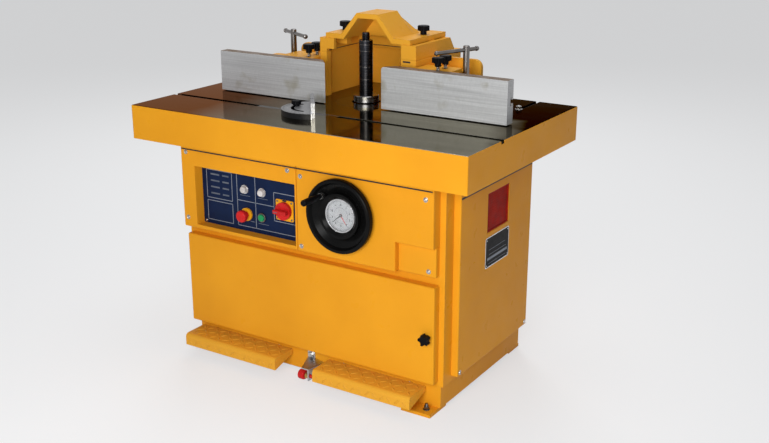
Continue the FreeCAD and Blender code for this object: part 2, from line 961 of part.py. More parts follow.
def fluted(body, axis, at, head, radius, count, flute_radius, depth):
    """Cut finger flutes round a knob's head, which lies between two places along its axis."""
    tools = []
    for k in range(count):
        angle = 2 * math.pi * k / count
        reach = radius + flute_radius - depth
        place = (at[0] + reach * math.cos(angle), at[1] + reach * math.sin(angle))
        tools.append(rod(axis, place, flute_radius, head))
    return cut(body, *tools)


def door_star_knob():
    stud_end = -S.door_depth - S.door_gap - S.sheet - S.door_stud_reach
    knob_face = S.door_knob_neck + S.door_knob_head
    knob = [
        (0, stud_end),
        (S.door_stud_radius, stud_end),
        (S.door_stud_radius, S.seat_gap),
        (S.door_knob_neck_radius, S.seat_gap),
        (S.door_knob_neck_radius, S.door_knob_neck),
        (S.door_knob_radius, S.door_knob_neck),
        (S.door_knob_radius, knob_face),
        (0, knob_face),
    ]
    body = turned("-Y", (door_knob_at[0], door_face, door_knob_at[1]), knob)
    head = (door_face - knob_face, door_face - S.door_knob_neck)
    lobes = int(S.door_knob_lobes.amount)
    flute = (S.door_knob_flute, S.door_knob_flute_depth)
    return fluted(body, "Y", door_knob_at, head, S.door_knob_radius, lobes, *flute)


# Table
def table():
    """Ribbed casting: a plate with a deep apron, a ring seat, a mitre slot and two rear slots."""
    across = span(zero, S.table_length)
    along = span(mid, S.table_width)
    body = pad(new_body("table"), "XY", [rectangle(across, along)], table_bottom, table_top)
    soften(body, S.table_edge, lambda edge: lies_at(edge, "z", table_top) or runs_along(edge, "z"))
    wall = cabinet_side_x
    rib = S.rib_wall
    inside = inner(across, S.apron_wall)
    depth = inner(along, S.apron_wall)
    front_rib = span(cabinet_face + S.sheet / 2, rib)
    rear_rib = span(cabinet_back - S.sheet / 2, rib)
    middle = (-wall + rib, wall - rib)
    bays = [
        rectangle((inside[0], -wall), depth),
        rectangle((wall, inside[1]), depth),
        rectangle(middle, (depth[0], front_rib[0])),
        rectangle(middle, (front_rib[1], rear_rib[0])),
        rectangle(middle, (rear_rib[1], depth[1])),
    ]
    pocket(body, "XY", bays, table_bottom, plate_bottom)
    top = table_top
    slot = rectangle(span(zero, S.table_length + rib), span(mitre_y, S.mitre_slot_width))
    pocket(body, "XY", [slot], top - S.mitre_slot_depth, top + rib)
    seat = circle((zero, spindle_y), S.ring_radius + S.seat_gap)
    pocket(body, "XY", [seat], top - S.ring_thickness, top + rib)
    opening = circle((zero, spindle_y), S.ring_radius - S.ring_ledge)
    pocket(body, "XY", [opening], plate_bottom - rib, top)
    slots = []
    for sign in (-1, 1):
        slot_across = span(S.bolt_slot_x * sign, S.bolt_slot_width)
        slots.append(rectangle(slot_across, (mid + S.bolt_slot_start, along[1] + rib)))
    pocket(body, "XY", slots, top - S.bolt_slot_depth, top + rib)
    hole = S.handle_stud_radius + S.screw_gap
    holes = [circle((S.handle_x * sign, handle_y), hole) for sign in (-1, 1)]
    return pocket(body, "XY", holes, plate_bottom - rib, top + rib)


def table_ring():
    return turned(
        "Z",
        (zero, spindle_y, table_top - S.ring_thickness),
        rectangle((S.ring_hole_radius, S.ring_radius), (zero, S.ring_thickness)),
    )


# Spindle, motor and lift
def spindle_shaft():
    """Shaft with its pulley seat, journal, collar and arbor, from the bottom up."""
    marks = [
        (S.pulley_seat_radius, pulley_bottom, quill_bottom),
        (S.journal_radius, quill_bottom, quill_top),
        (S.neck_radius, quill_top, collar_bottom),
    ]
    profile = [(0, pulley_bottom)]
    for radius, low, high in marks:
        profile += [(radius, low), (radius, high)]
    profile += [
        (S.collar_radius - S.collar_chamfer, collar_bottom),
        (S.collar_radius, collar_bottom + S.collar_chamfer),
        (S.collar_radius, collar_top - S.collar_chamfer),
        (S.collar_radius - S.collar_chamfer, collar_top),
        (S.arbor_radius, collar_top),
        (S.arbor_radius, arbor_top),
        (S.tip_radius, arbor_top),
        (S.tip_radius, arbor_top + S.tip_height - S.tip_chamfer),
        (S.tip_radius - S.tip_chamfer, arbor_top + S.tip_height),
        (0, arbor_top + S.tip_height),
    ]
    return turned("Z", (zero, spindle_y, zero), profile)


def spacer_rings():
    """Stack of loose rings on the arbor."""
    rings = []
    low = collar_top
    bore = S.arbor_radius + S.running_fit
    for height in spacers:
        ring = rectangle((bore, S.spacer_radius), (zero, height))
        rings.append(turned("Z", (zero, spindle_y, low), ring))
        low = low + height
    return group(*rings)


def step_pulley(at, radii, seat_radius):
    """Stepped pulley, from its lowest step up, bored for its shaft."""
    profile = [(seat_radius, zero)]
    low = zero
    for radius in radii:
        profile += [(radius, low), (radius, low + S.step_height)]
        low = low + S.step_height
    profile.append((seat_radius, low))
    return turned("Z", (*at, pulley_bottom), profile)


def step_radii():
    return [S.step_radius + S.step_rise * step for step in range(STEPS)]


def spindle_pulley():
    return step_pulley((zero, spindle_y), step_radii(), S.pulley_seat_radius + S.running_fit)


def motor_pulley():
    """Motor pulley, stepped the other way, with the motor's shaft end."""
    wheel = step_pulley((motor_x, spindle_y), step_radii()[::-1], S.pulley_seat_radius)
    shaft_ends = (pulley_bottom, motor_seat + S.motor_shaft_depth)
    return fuse(wheel, rod("Z", (motor_x, spindle_y), S.pulley_seat_radius, shaft_ends))


def motor():
    """Motor that stands on the quill's plate, shaft down, with its terminal box."""
    at = (motor_x, spindle_y)
    top = motor_seat + S.motor_height
    barrel = fuse(
        rod("Z", at, S.motor_radius, (motor_seat, top)),
        rod("Z", at, S.motor_spigot, (quill_bottom, motor_seat)),
        box(
            (motor_x - S.motor_radius - S.terminal_depth, motor_x),
            span(spindle_y, S.terminal_width),
            (top - S.terminal_drop - S.terminal_height, top - S.terminal_drop),
        ),
    )
    hole = S.pulley_seat_radius + S.seat_gap
    depth = motor_seat + S.motor_shaft_depth + S.seat_gap
    return cut(barrel, rod("Z", at, hole, (quill_bottom, depth)))


def drive_belt():
    """Belt round the lowest steps: two arcs joined by their common tangents."""
    near = S.step_radius.amount + S.seat_gap.amount
    far = (S.step_radius + S.step_rise * (STEPS - 1)).amount + S.seat_gap.amount
    reach = S.motor_offset.amount
    lean = math.asin((far - near) / reach)

    def loop(extra):
        up = FreeCAD.Vector(math.sin(lean), math.cos(lean), 0)
        down = FreeCAD.Vector(up.x, -up.y, 0)
        left = FreeCAD.Vector(-reach, 0, 0)
        a, b = near + extra, far + extra
        right_arc = Part.Arc(up * a, FreeCAD.Vector(a, 0, 0), down * a)
        left_arc = Part.Arc(left + down * b, left - FreeCAD.Vector(b, 0, 0), left + up * b)
        lines = [
            Part.LineSegment(down * a, left + down * b),
            Part.LineSegment(left + up * b, up * a),
        ]
        edges = [right_arc, lines[0], left_arc, lines[1]]
        return Part.Wire([edge.toShape() for edge in edges])

    rise = FreeCAD.Vector(0, 0, S.belt_width.amount)
    outside = Part.Face(loop(S.belt_thickness.amount)).extrude(rise)
    belt = doc.addObject("Part::Feature", "belt")
    belt.Shape = outside.cut(Part.Face(loop(0)).extrude(rise))
    inset = (S.step_height - S.belt_width) / 2
    return put(belt, zero, spindle_y, pulley_bottom + inset)


def spindle_bearings():
    races = []
    for low in (quill_bottom + S.bearing_inset, quill_top - S.bearing_inset - S.bearing_width):
        ring = rectangle(
            (S.journal_radius + S.running_fit, S.bearing_radius), (zero, S.bearing_width)
        )
        races.append(turned("Z", (zero, spindle_y, low), ring))
    return group(*races)


post_places = [(S.post_x, mid + S.post_front), (S.post_x, mid + S.post_front + S.post_pitch)]


def quill_housing():
    """Carriage casting: quill tube, guide block, nut arm and motor plate."""
    axis = (zero, spindle_y)
    tube = rod("Z", axis, S.quill_radius, (quill_bottom, quill_top))
    guide_along = (post_places[0][1] - S.slide_overhang, post_places[1][1] + S.slide_overhang)
    guide_across = span(S.post_x, S.slide_width)
    guide_height = (quill_bottom, quill_bottom + S.slide_height)
    guide = box(guide_across, guide_along, guide_height)
    web = box((zero, guide_across[0]), span(spindle_y, S.web_width), guide_height)
    nut_top = quill_top - S.nut_drop
    nut_height = (nut_top - S.nut_height, nut_top)
    arm_along = (screw_place_y - S.nut_width / 2, guide_along[0])
    arm = box(span(screw_x, S.nut_width), arm_along, nut_height)
    plate_along = span(spindle_y, S.motor_radius * 2)
    plate = box((motor_x - S.motor_radius, zero), plate_along, (quill_bottom, motor_seat))
    guide_bore = S.post_radius + S.running_fit
    tools = [rod("Z", place, guide_bore, guide_height) for place in post_places]
    tools.append(rod("Z", axis, S.bearing_radius + S.running_fit, (quill_bottom, quill_top)))
    spigot = S.motor_spigot + S.running_fit
    tools.append(rod("Z", (motor_x, spindle_y), spigot, (quill_bottom, motor_seat)))
    tools.append(rod("Z", (screw_x, screw_place_y), S.screw_radius + S.running_fit, nut_height))
    return cut(fuse(tube, guide, web, arm, plate), *tools)


def lift_frame():
    """Frame bolted under the table, with two guide posts and the bearings of the lift."""
    across = (S.frame_left, frame_web_x + S.frame_web)
    along = (mid - S.frame_front, mid + S.frame_rear)
    low = box(across, along, (frame_bottom, frame_bottom_top))
    high = box(across, along, (frame_top_bottom, plate_bottom))
    web = box((frame_web_x, across[1]), along, (frame_bottom_top, frame_top_bottom))
    arm = box(
        (screw_x - S.nut_width / 2, frame_web_x),
        (along[0], along[0] + S.shaft_arm),
        span(wheel_z, S.shaft_arm_height),
    )
    posts = [
        rod("Z", place, S.post_radius, (frame_bottom_top, frame_top_bottom)) for place in post_places
    ]
    shaft = S.shaft_radius + S.running_fit
    end = S.screw_end_radius + S.running_fit
    tools = [
        rod("Y", (screw_x, wheel_z), shaft, (along[0], along[0] + S.shaft_arm)),
        rod("Z", (screw_x, screw_place_y), end, (frame_bottom, plate_bottom)),
    ]
    return cut(fuse(low, high, web, arm, *posts), *tools)


def lift_screw():
    """Lifting screw with the driven bevel gear below the handwheel's shaft."""
    at = (screw_x, screw_place_y)
    gear_base = wheel_z - S.bevel_radius
    gear_top = gear_base + S.bevel_face
    stem = (frame_bottom_top + S.seat_gap, frame_top_bottom - S.seat_gap)
    return fuse(
        rod("Z", at, S.screw_radius, stem),
        rod("Z", at, S.screw_end_radius, (frame_bottom, plate_bottom - S.seat_gap)),
        cone("Z", at, (gear_base, gear_top), (S.bevel_radius, S.bevel_radius - S.bevel_face)),
        rod("Z", at, S.bevel_radius - S.bevel_face, (gear_base - S.bevel_hub, gear_base)),
    )


def handwheel_shaft():
    """Shaft from the handwheel to the bevel pinion that turns the lifting screw."""
    at = wheel_at
    small_end = screw_place_y - S.bevel_radius + S.bevel_face - S.bevel_gap
    big_end = small_end - S.bevel_face
    return fuse(
        rod("Y", at, S.shaft_radius, (wheel_back - S.wheel_web, small_end)),
        cone("Y", at, (big_end, small_end), (S.bevel_radius, S.bevel_radius - S.bevel_face)),
        rod("Y", at, S.bevel_radius - S.bevel_face, (big_end - S.bevel_hub, big_end)),
    )


# Handwheel and dial
def handwheel():
    """Dished wheel: a deep hub round the dial, a thick rim and a boss for the crank."""
    bore = S.shaft_radius + S.running_fit
    seat = S.dial_radius + S.seat_gap
    rim_inner = S.wheel_radius - S.rim_width
    rim_top = S.rim_lift + S.rim_height
    profile = [
        (bore, zero),
        (S.hub_radius, zero),
        (rim_inner, S.rim_lift),
        (S.wheel_radius, S.rim_lift),
        (S.wheel_radius, rim_top),
        (rim_inner + S.rim_round, rim_top),
        (rim_inner, S.rim_lift + S.rim_web),
        (S.hub_radius, S.wheel_web),
        (S.hub_radius, S.hub_height),
        (S.hub_radius - S.hub_lip, S.hub_height),
        (seat, S.wheel_web + S.dial_depth),
        (seat, S.wheel_web),
        (bore, S.wheel_web),
    ]
    wheel = turned("-Y", (S.wheel_x, wheel_back, wheel_z), profile)
    rim = number(S.wheel_radius)

    def rim_edge(edge):
        return isinstance(edge.Curve, Part.Circle) and abs(edge.Curve.Radius - rim) < NEAR

    soften(wheel, S.rim_round, rim_edge)
    boss = rod("Y", crank_at, S.crank_boss_radius, (crank_face, wheel_back - S.rim_lift))
    bolt_end = crank_face - S.grip_length + S.grip_bolt_inset
    bolt = rod("Y", crank_at, S.crank_bolt_radius, (bolt_end, crank_face))
    return fuse(wheel, boss, bolt)


def crank_grip():
    """Swelling grip that spins on the crank's bolt."""
    bore = S.crank_bolt_radius + S.screw_gap
    length = S.grip_length
    profile = [
        (bore, S.seat_gap),
        (S.grip_neck_radius, S.seat_gap),
        (S.grip_neck_radius, S.grip_neck_length),
        (S.grip_radius, S.grip_swell),
        (S.grip_tip_radius, length),
        (0, length),
        (0, length - S.grip_cap),
        (bore, length - S.grip_cap),
    ]
    body = turned("-Y", (crank_at[0], crank_face, crank_at[1]), profile)
    return soften(body, S.grip_round, lambda edge: lies_at(edge, "z", length))


def dial_part(profile):
    """A turned piece of the dial, measured forward from the dial's seat."""
    return turned("-Y", (S.wheel_x, dial_back, wheel_z), profile)


def dial_case():
    inside = S.dial_radius - S.dial_wall
    return dial_part(
        [
            (0, 0),
            (S.dial_radius, 0),
            (S.dial_radius, S.dial_depth),
            (inside, S.dial_depth),
            (inside, S.dial_floor),
            (S.dial_pin_radius, S.dial_floor),
            (S.dial_pin_radius, S.dial_floor + S.dial_pin_height),
            (0, S.dial_floor + S.dial_pin_height),
        ]
    )


face_low = S.dial_floor + S.seat_gap
red_low = face_low + S.face_thickness + S.needle_gap
black_low = red_low + S.needle_thickness + S.needle_gap
dial_bore = S.dial_pin_radius + S.seat_gap
dial_inside = S.dial_radius - S.dial_wall - S.seat_gap


def dial_face():
    return dial_part(rectangle((dial_bore, dial_inside), (face_low, face_low + S.face_thickness)))


def dial_lens():
    top = S.dial_depth - S.lens_inset
    return dial_part(rectangle((zero, dial_inside), (top - S.lens_thickness, top)))


def needle(low, length, angle):
    """Pointer on the dial's pin, turned from straight down by its angle."""
    thickness = (zero, S.needle_thickness)
    half = S.needle_width / 2
    body = pad(new_body("needle"), "XZ", [circle((zero, zero), S.needle_hub)], *thickness)
    blade = [(-half, zero), (half, zero), (half / 2, -length), (-half / 2, -length)]
    pad(body, "XZ", [blade], *thickness)
    pocket(body, "XZ", [circle((zero, zero), dial_bore)], *thickness)
    front = dial_back - low - S.needle_thickness
    put(body, S.wheel_x, front, wheel_z, FreeCAD.Rotation(FreeCAD.Vector(0, -1, 0), 1))
    tie(body, "Placement.Rotation.Angle", angle)
    return body


# Controls
def on_panel(at, profile):
    """A turned piece that stands out of the control panel."""
    return turned("-Y", (at[0], panel_face, at[1]), profile)


def indicator_lamps():
    lamps = []
    for place in (S.lamp_left, S.lamp_right):
        lamp = on_panel(
            (-place, lamp_z),
            [
                (0, 0),
                (S.lamp_bezel_radius, 0),
                (S.lamp_bezel_radius, S.lamp_bezel_height),
                (S.lamp_radius, S.lamp_bezel_height),
                (S.lamp_radius, S.lamp_height),
                (0, S.lamp_height),
            ],
        )
        lamps.append(soften(lamp, S.lamp_round, lambda edge: lies_at(edge, "z", S.lamp_height)))
    return group(*lamps)


def switch_plates():
    """Collar of the emergency stop and square plate of the main switch."""
    stem = S.estop_stem_radius + S.seat_gap
    ring = rectangle((stem, S.estop_collar_radius), (zero, S.estop_collar_height))
    collar = on_panel(estop_at, ring)
    outline = rectangle(*(span(place, S.switch_plate) for place in switch_at))
    plate = pad(new_body("plate"), "XZ", [outline], panel_face - S.switch_plate_height, panel_face)
    soften(plate, S.switch_plate_edge, lambda edge: runs_along(edge, "y"))
    return group(collar, plate)


def estop_button():
    head_low = S.estop_reach - S.estop_head
    body = on_panel(
        estop_at,
        [
            (0, -S.button_tail),
            (S.estop_stem_radius, -S.button_tail),
            (S.estop_stem_radius, head_low),
            (S.estop_radius, head_low),
            (S.estop_radius, S.estop_reach),
            (0, S.estop_reach),
        ],
    )
    return soften(body, S.estop_round, lambda edge: lies_at(edge, "z", S.estop_reach))


def start_button():
    body = on_panel(
        start_at,
        [
            (0, -S.button_tail),
            (S.start_radius, -S.button_tail),
            (S.start_radius, S.start_reach),
            (0, S.start_reach),
        ],
    )
    return soften(body, S.start_round, lambda edge: lies_at(edge, "z", S.start_reach))


def main_switch_handle():
    """Rotary handle: a disc with a grip bar level across it."""
    seat = panel_face - S.switch_plate_height - S.seat_gap
    disc_face = seat - S.switch_disc_height
    bar_face = disc_face - S.switch_bar_height
    disc = rod("Y", switch_at, S.switch_disc_radius, (disc_face, seat))
    grip = rectangle(span(switch_at[0], S.switch_bar_length), span(switch_at[1], S.switch_bar_width))
    bar = pad(new_body("bar"), "XZ", [grip], bar_face, disc_face)
    soften(bar, S.switch_bar_round, lambda edge: lies_at(edge, "y", bar_face) or runs_along(edge, "y"))
    return fuse(disc, bar)


# Pedals
def pedal(across):
    """Tread plate with a bent front and closed ends, on two arms that hang on the pedal shaft."""
    front, rear = plinth_face - S.pedal_reach, plinth_face - S.pedal_gap
    top = S.pedal_top
    wall = S.pedal_plate
    profile = [
        (front, top - S.pedal_lip),
        (front + wall, top - S.pedal_lip),
        (front + wall, top - wall),
        (rear, top - wall),
        (rear, top),
        (front, top),
    ]
    plate = pad(new_body("pedal"), "YZ", [profile], *across)

    def bend(edge):
        return runs_along(edge, "x") and lies_at(edge, "y", front) and lies_at(edge, "z", top)

    soften(plate, S.pedal_bend, bend)
    inside = front + S.pedal_bend
    end_plate = [
        (front + wall, top - S.pedal_lip),
        (rear, top - S.pedal_end_rear),
        (rear, top - wall),
        (inside, top - wall),
        (front + wall, top - S.pedal_bend),
    ]
    ends = [
        pad(new_body("pedal_end"), "YZ", [end_plate], low, low + wall)
        for low in (across[0], across[1] - wall)
    ]
    hub_bore = S.pedal_shaft_radius + S.running_fit
    arms, bores = [], []
    arm_top = top - wall
    for place in arm_places(across):
        wide = span(place, S.pedal_arm)
        arms.append(box(wide, (front + wall, pivot_y), (arm_top - S.pedal_arm_height, arm_top)))
        arms.append(rod("X", (pivot_y, S.pedal_pivot_z), S.pedal_hub_radius, wide))
        bores.append(rod("X", (pivot_y, S.pedal_pivot_z), hub_bore, wide))
    return cut(fuse(plate, *ends, *arms), *bores)


def pedal_shaft():
    return rod("X", (pivot_y, S.pedal_pivot_z), S.pedal_shaft_radius, shaft_ends)


def latch_bracket():
    """Folded bracket on the plinth: tab, spreading plate and a lug that guides the plunger."""
    tab_half = S.latch_tab_width / 2
    low = S.latch_plate_z - S.latch_sheet
    tab = box(
        (S.latch_x - tab_half, S.latch_x + tab_half), (latch_face, plinth_face), (low, S.latch_tab_top)
    )
    outline = [
        (S.latch_x - tab_half, latch_face),
        (S.latch_x + S.latch_front_left, latch_front),
        (latch_lug_x, latch_front),
        (S.latch_x + S.latch_plate_right, latch_face - S.latch_plate_rear),
        (S.latch_x + tab_half, latch_face),
    ]
    plate = pad(new_body("latch"), "XY", [outline], low, S.latch_plate_z)
    across = (latch_lug_x - S.latch_sheet, latch_lug_x)
    lug_bottom = latch_knob_at[1] - S.latch_lug_margin
    lug_rear = latch_knob_at[0] + S.latch_lug_margin
    lug = box(across, (latch_front, lug_rear), (lug_bottom, S.latch_plate_z))
    hole = rod("X", latch_knob_at, S.latch_stud_radius + S.running_fit, across)
    return cut(fuse(tab, plate, lug), hole)


def latch_knob():
    """Red pull knob on a plunger through the bracket's lug."""
    length = S.latch_knob_length
    tip = length + S.latch_knob_gap + S.latch_sheet + S.latch_stud_reach
    left_end = latch_lug_x - S.latch_sheet - S.latch_knob_gap - length
    body = turned(
        "X",
        (left_end, *latch_knob_at),
        [
            (0, zero),
            (S.latch_knob_radius, zero),
            (S.latch_knob_radius, length),
            (S.latch_stud_radius, length),
            (S.latch_stud_radius, tip),
            (0, tip),
        ],
    )
    radius = number(S.latch_knob_radius)

    def knob_edge(edge):
        return isinstance(edge.Curve, Part.Circle) and abs(edge.Curve.Radius - radius) < NEAR

    return soften(body, S.latch_knob_round, knob_edge)


# Fence body, hood and fences
def wing(sign):
    """Rib, foot flange and shelf at one side of the fence body."""
    reach = side((hood_side, S.wing_reach), sign)
    outer = reach[1] if sign > 0 else reach[0]
    rib = pad(
        new_body("wing"),
        "XZ",
        [rectangle(reach, (table_top, hood_split))],
        mid + S.wing_y,
        mid + S.wing_y + S.wing_wall,
    )

    def corner(edge):
        at_top = lies_at(edge, "x", outer) and lies_at(edge, "z", hood_split)
        return runs_along(edge, "y") and at_top

    soften(rib, S.wing_round, corner)
    flange = box(
        reach,
        (mid + S.flange_front, mid + S.wing_y),
        (table_top, table_top + S.flange_height),
    )
    shelf = box(
        side((hood_side, S.shelf_reach), sign),
        (shelf_front, mid + S.wing_y),
        (shelf_top - S.shelf_height, shelf_top),
    )
    return [rib, flange, shelf]


def stud_places(sign):
    x = S.carrier_knob_x if sign > 0 else -S.left_carrier_knob_x
    front = mid + S.carrier_knob_front
    return [(x, front), (x, front + S.carrier_knob_pitch)]


def long_slot(x, y, half, height):
    """Cutter for a slot along Y with round ends, between two places of its end centres."""
    return [
        box((x - half, x + half), y, height),
        rod("Z", (x, y[0]), half, height),
        rod("Z", (x, y[1]), half, height),
    ]


def fence_body():
    """Lower casting round the spindle: walls, pillars, wings and a dust spigot."""
    along = (mid + S.hood_front, mid + S.hood_rear)
    height = (table_top, hood_split)
    outer = box(span(zero, S.hood_width), along, height)
    room = box(
        span(zero, S.hood_width - S.hood_wall * 2),
        (along[0] + S.pillar_depth, along[1] - S.hood_wall),
        height,
    )
    pillar = (along[0], along[0] + S.pillar_depth)
    right_edge = hood_side - S.shell_pillar
    mouth = box((-hood_side + S.pillar_width, right_edge), pillar, height)
    roof = box(
        span(zero, S.hood_width),
        (mid + S.shell_rear - S.shell_wall, along[1]),
        (hood_split - S.hood_wall, hood_split),
    )
    port = (zero, table_top + S.port_rise)
    tube = rod("Y", port, S.port_radius, (along[1], along[1] + S.port_length))
    bore = (along[1] - S.hood_wall, along[1] + S.port_length)
    tools = [room, mouth, rod("Y", port, S.port_radius - S.port_wall, bore)]
    flange = (table_top, table_top + S.flange_height)
    slot_half = S.handle_stud_radius + S.screw_gap
    slot = (handle_y - S.fence_unit_back, handle_y + S.fence_unit_front)
    stud_hole = S.knob_stud_radius + S.screw_gap
    for sign in (-1, 1):
        tools += long_slot(S.handle_x * sign, slot, slot_half, flange)
        for place in stud_places(sign):
            tools.append(rod("Z", place, stud_hole, (shelf_top - S.shelf_height, shelf_top)))
    walls = cut(fuse(outer, tube, *wing(-1), *wing(1)), *tools)
    return fuse(walls, roof)


def lid_knob_place(sign):
    if sign > 0:
        return (S.lid_knob_x, mid + S.lid_knob_y)
    return (-S.left_lid_knob_x, mid + S.left_lid_knob_y)


def hood_shell():
    """Upper casting: sloping back, open top and front, with bosses for the lid's knobs."""
    front = mid + S.hood_front
    profile = [
        (front, hood_split),
        (mid + S.shell_rear, hood_split),
        (mid + S.shell_rear, hood_split + S.shell_step),
        (mid + S.shell_top_rear, shell_top),
        (front, shell_top),
    ]
    across = span(zero, S.hood_width)
    body = pad(new_body("shell"), "YZ", [profile], *across)

    inside = inner(across, S.shell_wall)
    room = rectangle(inside, (front + S.shell_wall, mid + S.shell_top_rear - S.shell_wall))
    pocket(body, "XY", [room], hood_split, shell_top)
    low_half = hood_side - S.shell_pillar_low
    high_half = hood_side - S.shell_pillar
    step = hood_split + S.shell_pillar_step
    mouth = [
        (-low_half, hood_split),
        (high_half, hood_split),
        (high_half, shell_top),
        (-high_half, shell_top),
        (-high_half, step),
        (-low_half, step),
    ]
    pocket(body, "XZ", [mouth], front - S.shell_wall, front + S.shell_wall)
    bosses, holes = [], []
    boss = (shell_top - S.lid_boss_height, shell_top)
    for sign in (-1, 1):
        place = lid_knob_place(sign)
        inner_edge = place[0] - S.lid_boss_width / 2 * sign
        wall_face = (hood_side - S.shell_wall) * sign
        reach = (inner_edge, wall_face) if sign > 0 else (wall_face, inner_edge)
        bosses.append(box(reach, span(place[1], S.lid_boss_width), boss))
        holes.append(rod("Z", place, S.knob_stud_radius + S.screw_gap, boss))
    return cut(fuse(body, *bosses), *holes)


def hood_lid():
    """Lid with a hollow hump over the spindle, open at the front and closed behind."""
    half = S.lid_width / 2
    low, top = shell_top, lid_top
    crown = lid_top + S.hump_height
    front = mid + S.lid_front
    foot, peak = S.hump_foot / 2, S.hump_top / 2
    inner_foot, inner_peak = S.hump_inner_foot / 2, S.hump_inner_top / 2
    section = [
        (-half, low),
        (-inner_foot, low),
        (-inner_peak, crown - S.hump_wall),
        (inner_peak, crown - S.hump_wall),
        (inner_foot, low),
        (half, low),
        (half, top),
        (foot, top),
        (peak, crown),
        (-peak, crown),
        (-foot, top),
        (-half, top),
    ]
    start = mid + S.hump_rear_top - S.hump_end
    rear = mid + S.lid_rear
    body = pad(new_body("lid"), "XZ", [section], front, start)
    plate = pad(new_body("lid_plate"), "XY", [rectangle((-half, half), (start, rear))], low, top)

    back = new_body("hump_back")
    loft = back.newObject("PartDesign::AdditiveLoft", "back")
    base = [(-foot, top), (foot, top), (peak, crown), (-peak, crown)]
    loft.Profile = draw(back, "XZ", [base], start)
    low_crown = crown - S.hump_wall
    end = [(-foot, top), (foot, top), (peak, low_crown), (-peak, low_crown)]
    loft.Sections = [draw(back, "XZ", [end], mid + S.hump_rear_top)]
    tail = new_body("hump_tail")
    slope = tail.newObject("PartDesign::AdditiveLoft", "tail")
    slope.Profile = draw(tail, "XZ", [end], mid + S.hump_rear_top)
    last = [
        (-foot, top),
        (foot, top),
        (foot - S.lid_edge, top + S.lid_edge),
        (-foot + S.lid_edge, top + S.lid_edge),
    ]
    slope.Sections = [draw(tail, "XZ", [last], mid + S.hump_rear)]
    hole = S.knob_stud_radius + S.screw_gap
    holes = [rod("Z", lid_knob_place(sign), hole, (low, top)) for sign in (-1, 1)]
    return cut(fuse(body, plate, back, tail), *holes)


def clamp_knob(at, seat, studs, shape=(S.knob_radius, S.knob_neck, S.knob_head)):
    """Fluted hand knob on a stud: the stud shows above its seat and runs on below it."""
    stud_above, stud_below = studs
    radius, neck_top, head_height = shape
    low = seat + stud_above
    head_top = neck_top + head_height
    body = turned(
        "Z",
        (*at, low),
        [
            (0, -stud_above - stud_below),
            (S.knob_stud_radius, -stud_above - stud_below),
            (S.knob_stud_radius, zero),
            (S.knob_neck_radius, zero),
            (S.knob_neck_radius, neck_top),
            (radius, neck_top),
            (radius, head_top),
            (0, head_top),
        ],
    )
    soften(body, S.knob_round, lambda edge: lies_at(edge, "z", head_top))
    head = (low + neck_top, low + head_top)
    count = int(S.knob_flutes.amount)
    flute = (S.knob_flute_radius, S.knob_flute_depth)
    return fluted(body, "Z", at, head, radius, count, *flute)


def hood_knob(sign):
    depth = S.lid_thickness + S.lid_boss_height / 2
    return clamp_knob(lid_knob_place(sign), lid_top, (S.seat_gap, depth))


def carrier_knob(sign, row):
    depth = S.carrier_rise + S.shelf_height
    return clamp_knob(stud_places(sign)[row], carrier_top, (S.knob_stud, depth))


def carrier_reach(sign):
    """Front of a carrier, just behind its fence."""
    fence_front = S.right_fence_front if sign > 0 else S.left_fence_front
    return mid - fence_front + S.fence_thickness + S.slide_gap


def carrier(sign):
    """Bracket behind a fence: a back plate, a ledge over the shelf and two slots for its knobs."""
    front = carrier_reach(sign)
    ledge_low = shelf_top + S.slide_gap
    plate = box(
        side((carrier_start, S.carrier_end), sign),
        (front, front + S.carrier_plate),
        (table_top + S.carrier_lift, carrier_top),
    )
    post_x = (S.handle_x - S.handle_radius - S.post_play) * sign
    travel = S.fence_unit_back + S.carrier_travel
    post_y = handle_y - travel - S.handle_radius - S.post_play
    outer = S.ledge_end * sign
    rear = mid + S.ledge_rear
    start = carrier_start * sign
    outline = [
        (start, front),
        (outer, front),
        (outer, post_y),
        (post_x, post_y),
        (post_x, rear),
        (start, rear),
    ]
    ledge = pad(new_body("ledge"), "XY", [outline], ledge_low, carrier_top)

    def corner(edge):
        at_end = lies_at(edge, "x", outer) and lies_at(edge, "y", post_y)
        at_rear = lies_at(edge, "x", post_x) and lies_at(edge, "y", rear)
        return runs_along(edge, "z") and (at_end or at_rear)

    soften(ledge, S.ledge_round, corner)
    notch = box(
        side((carrier_start, S.shelf_reach + S.notch_gap), sign),
        (front, front + S.carrier_plate),
        (shelf_top - S.shelf_height - S.notch_gap, ledge_low),
    )
    half = S.knob_stud_radius + S.screw_gap
    slots = []
    for x, y in stud_places(sign):
        ends = (y - S.carrier_travel, y + S.carrier_travel)
        slots += long_slot(x, ends, half, (ledge_low, carrier_top))
    return cut(fuse(plate, ledge), notch, *slots)


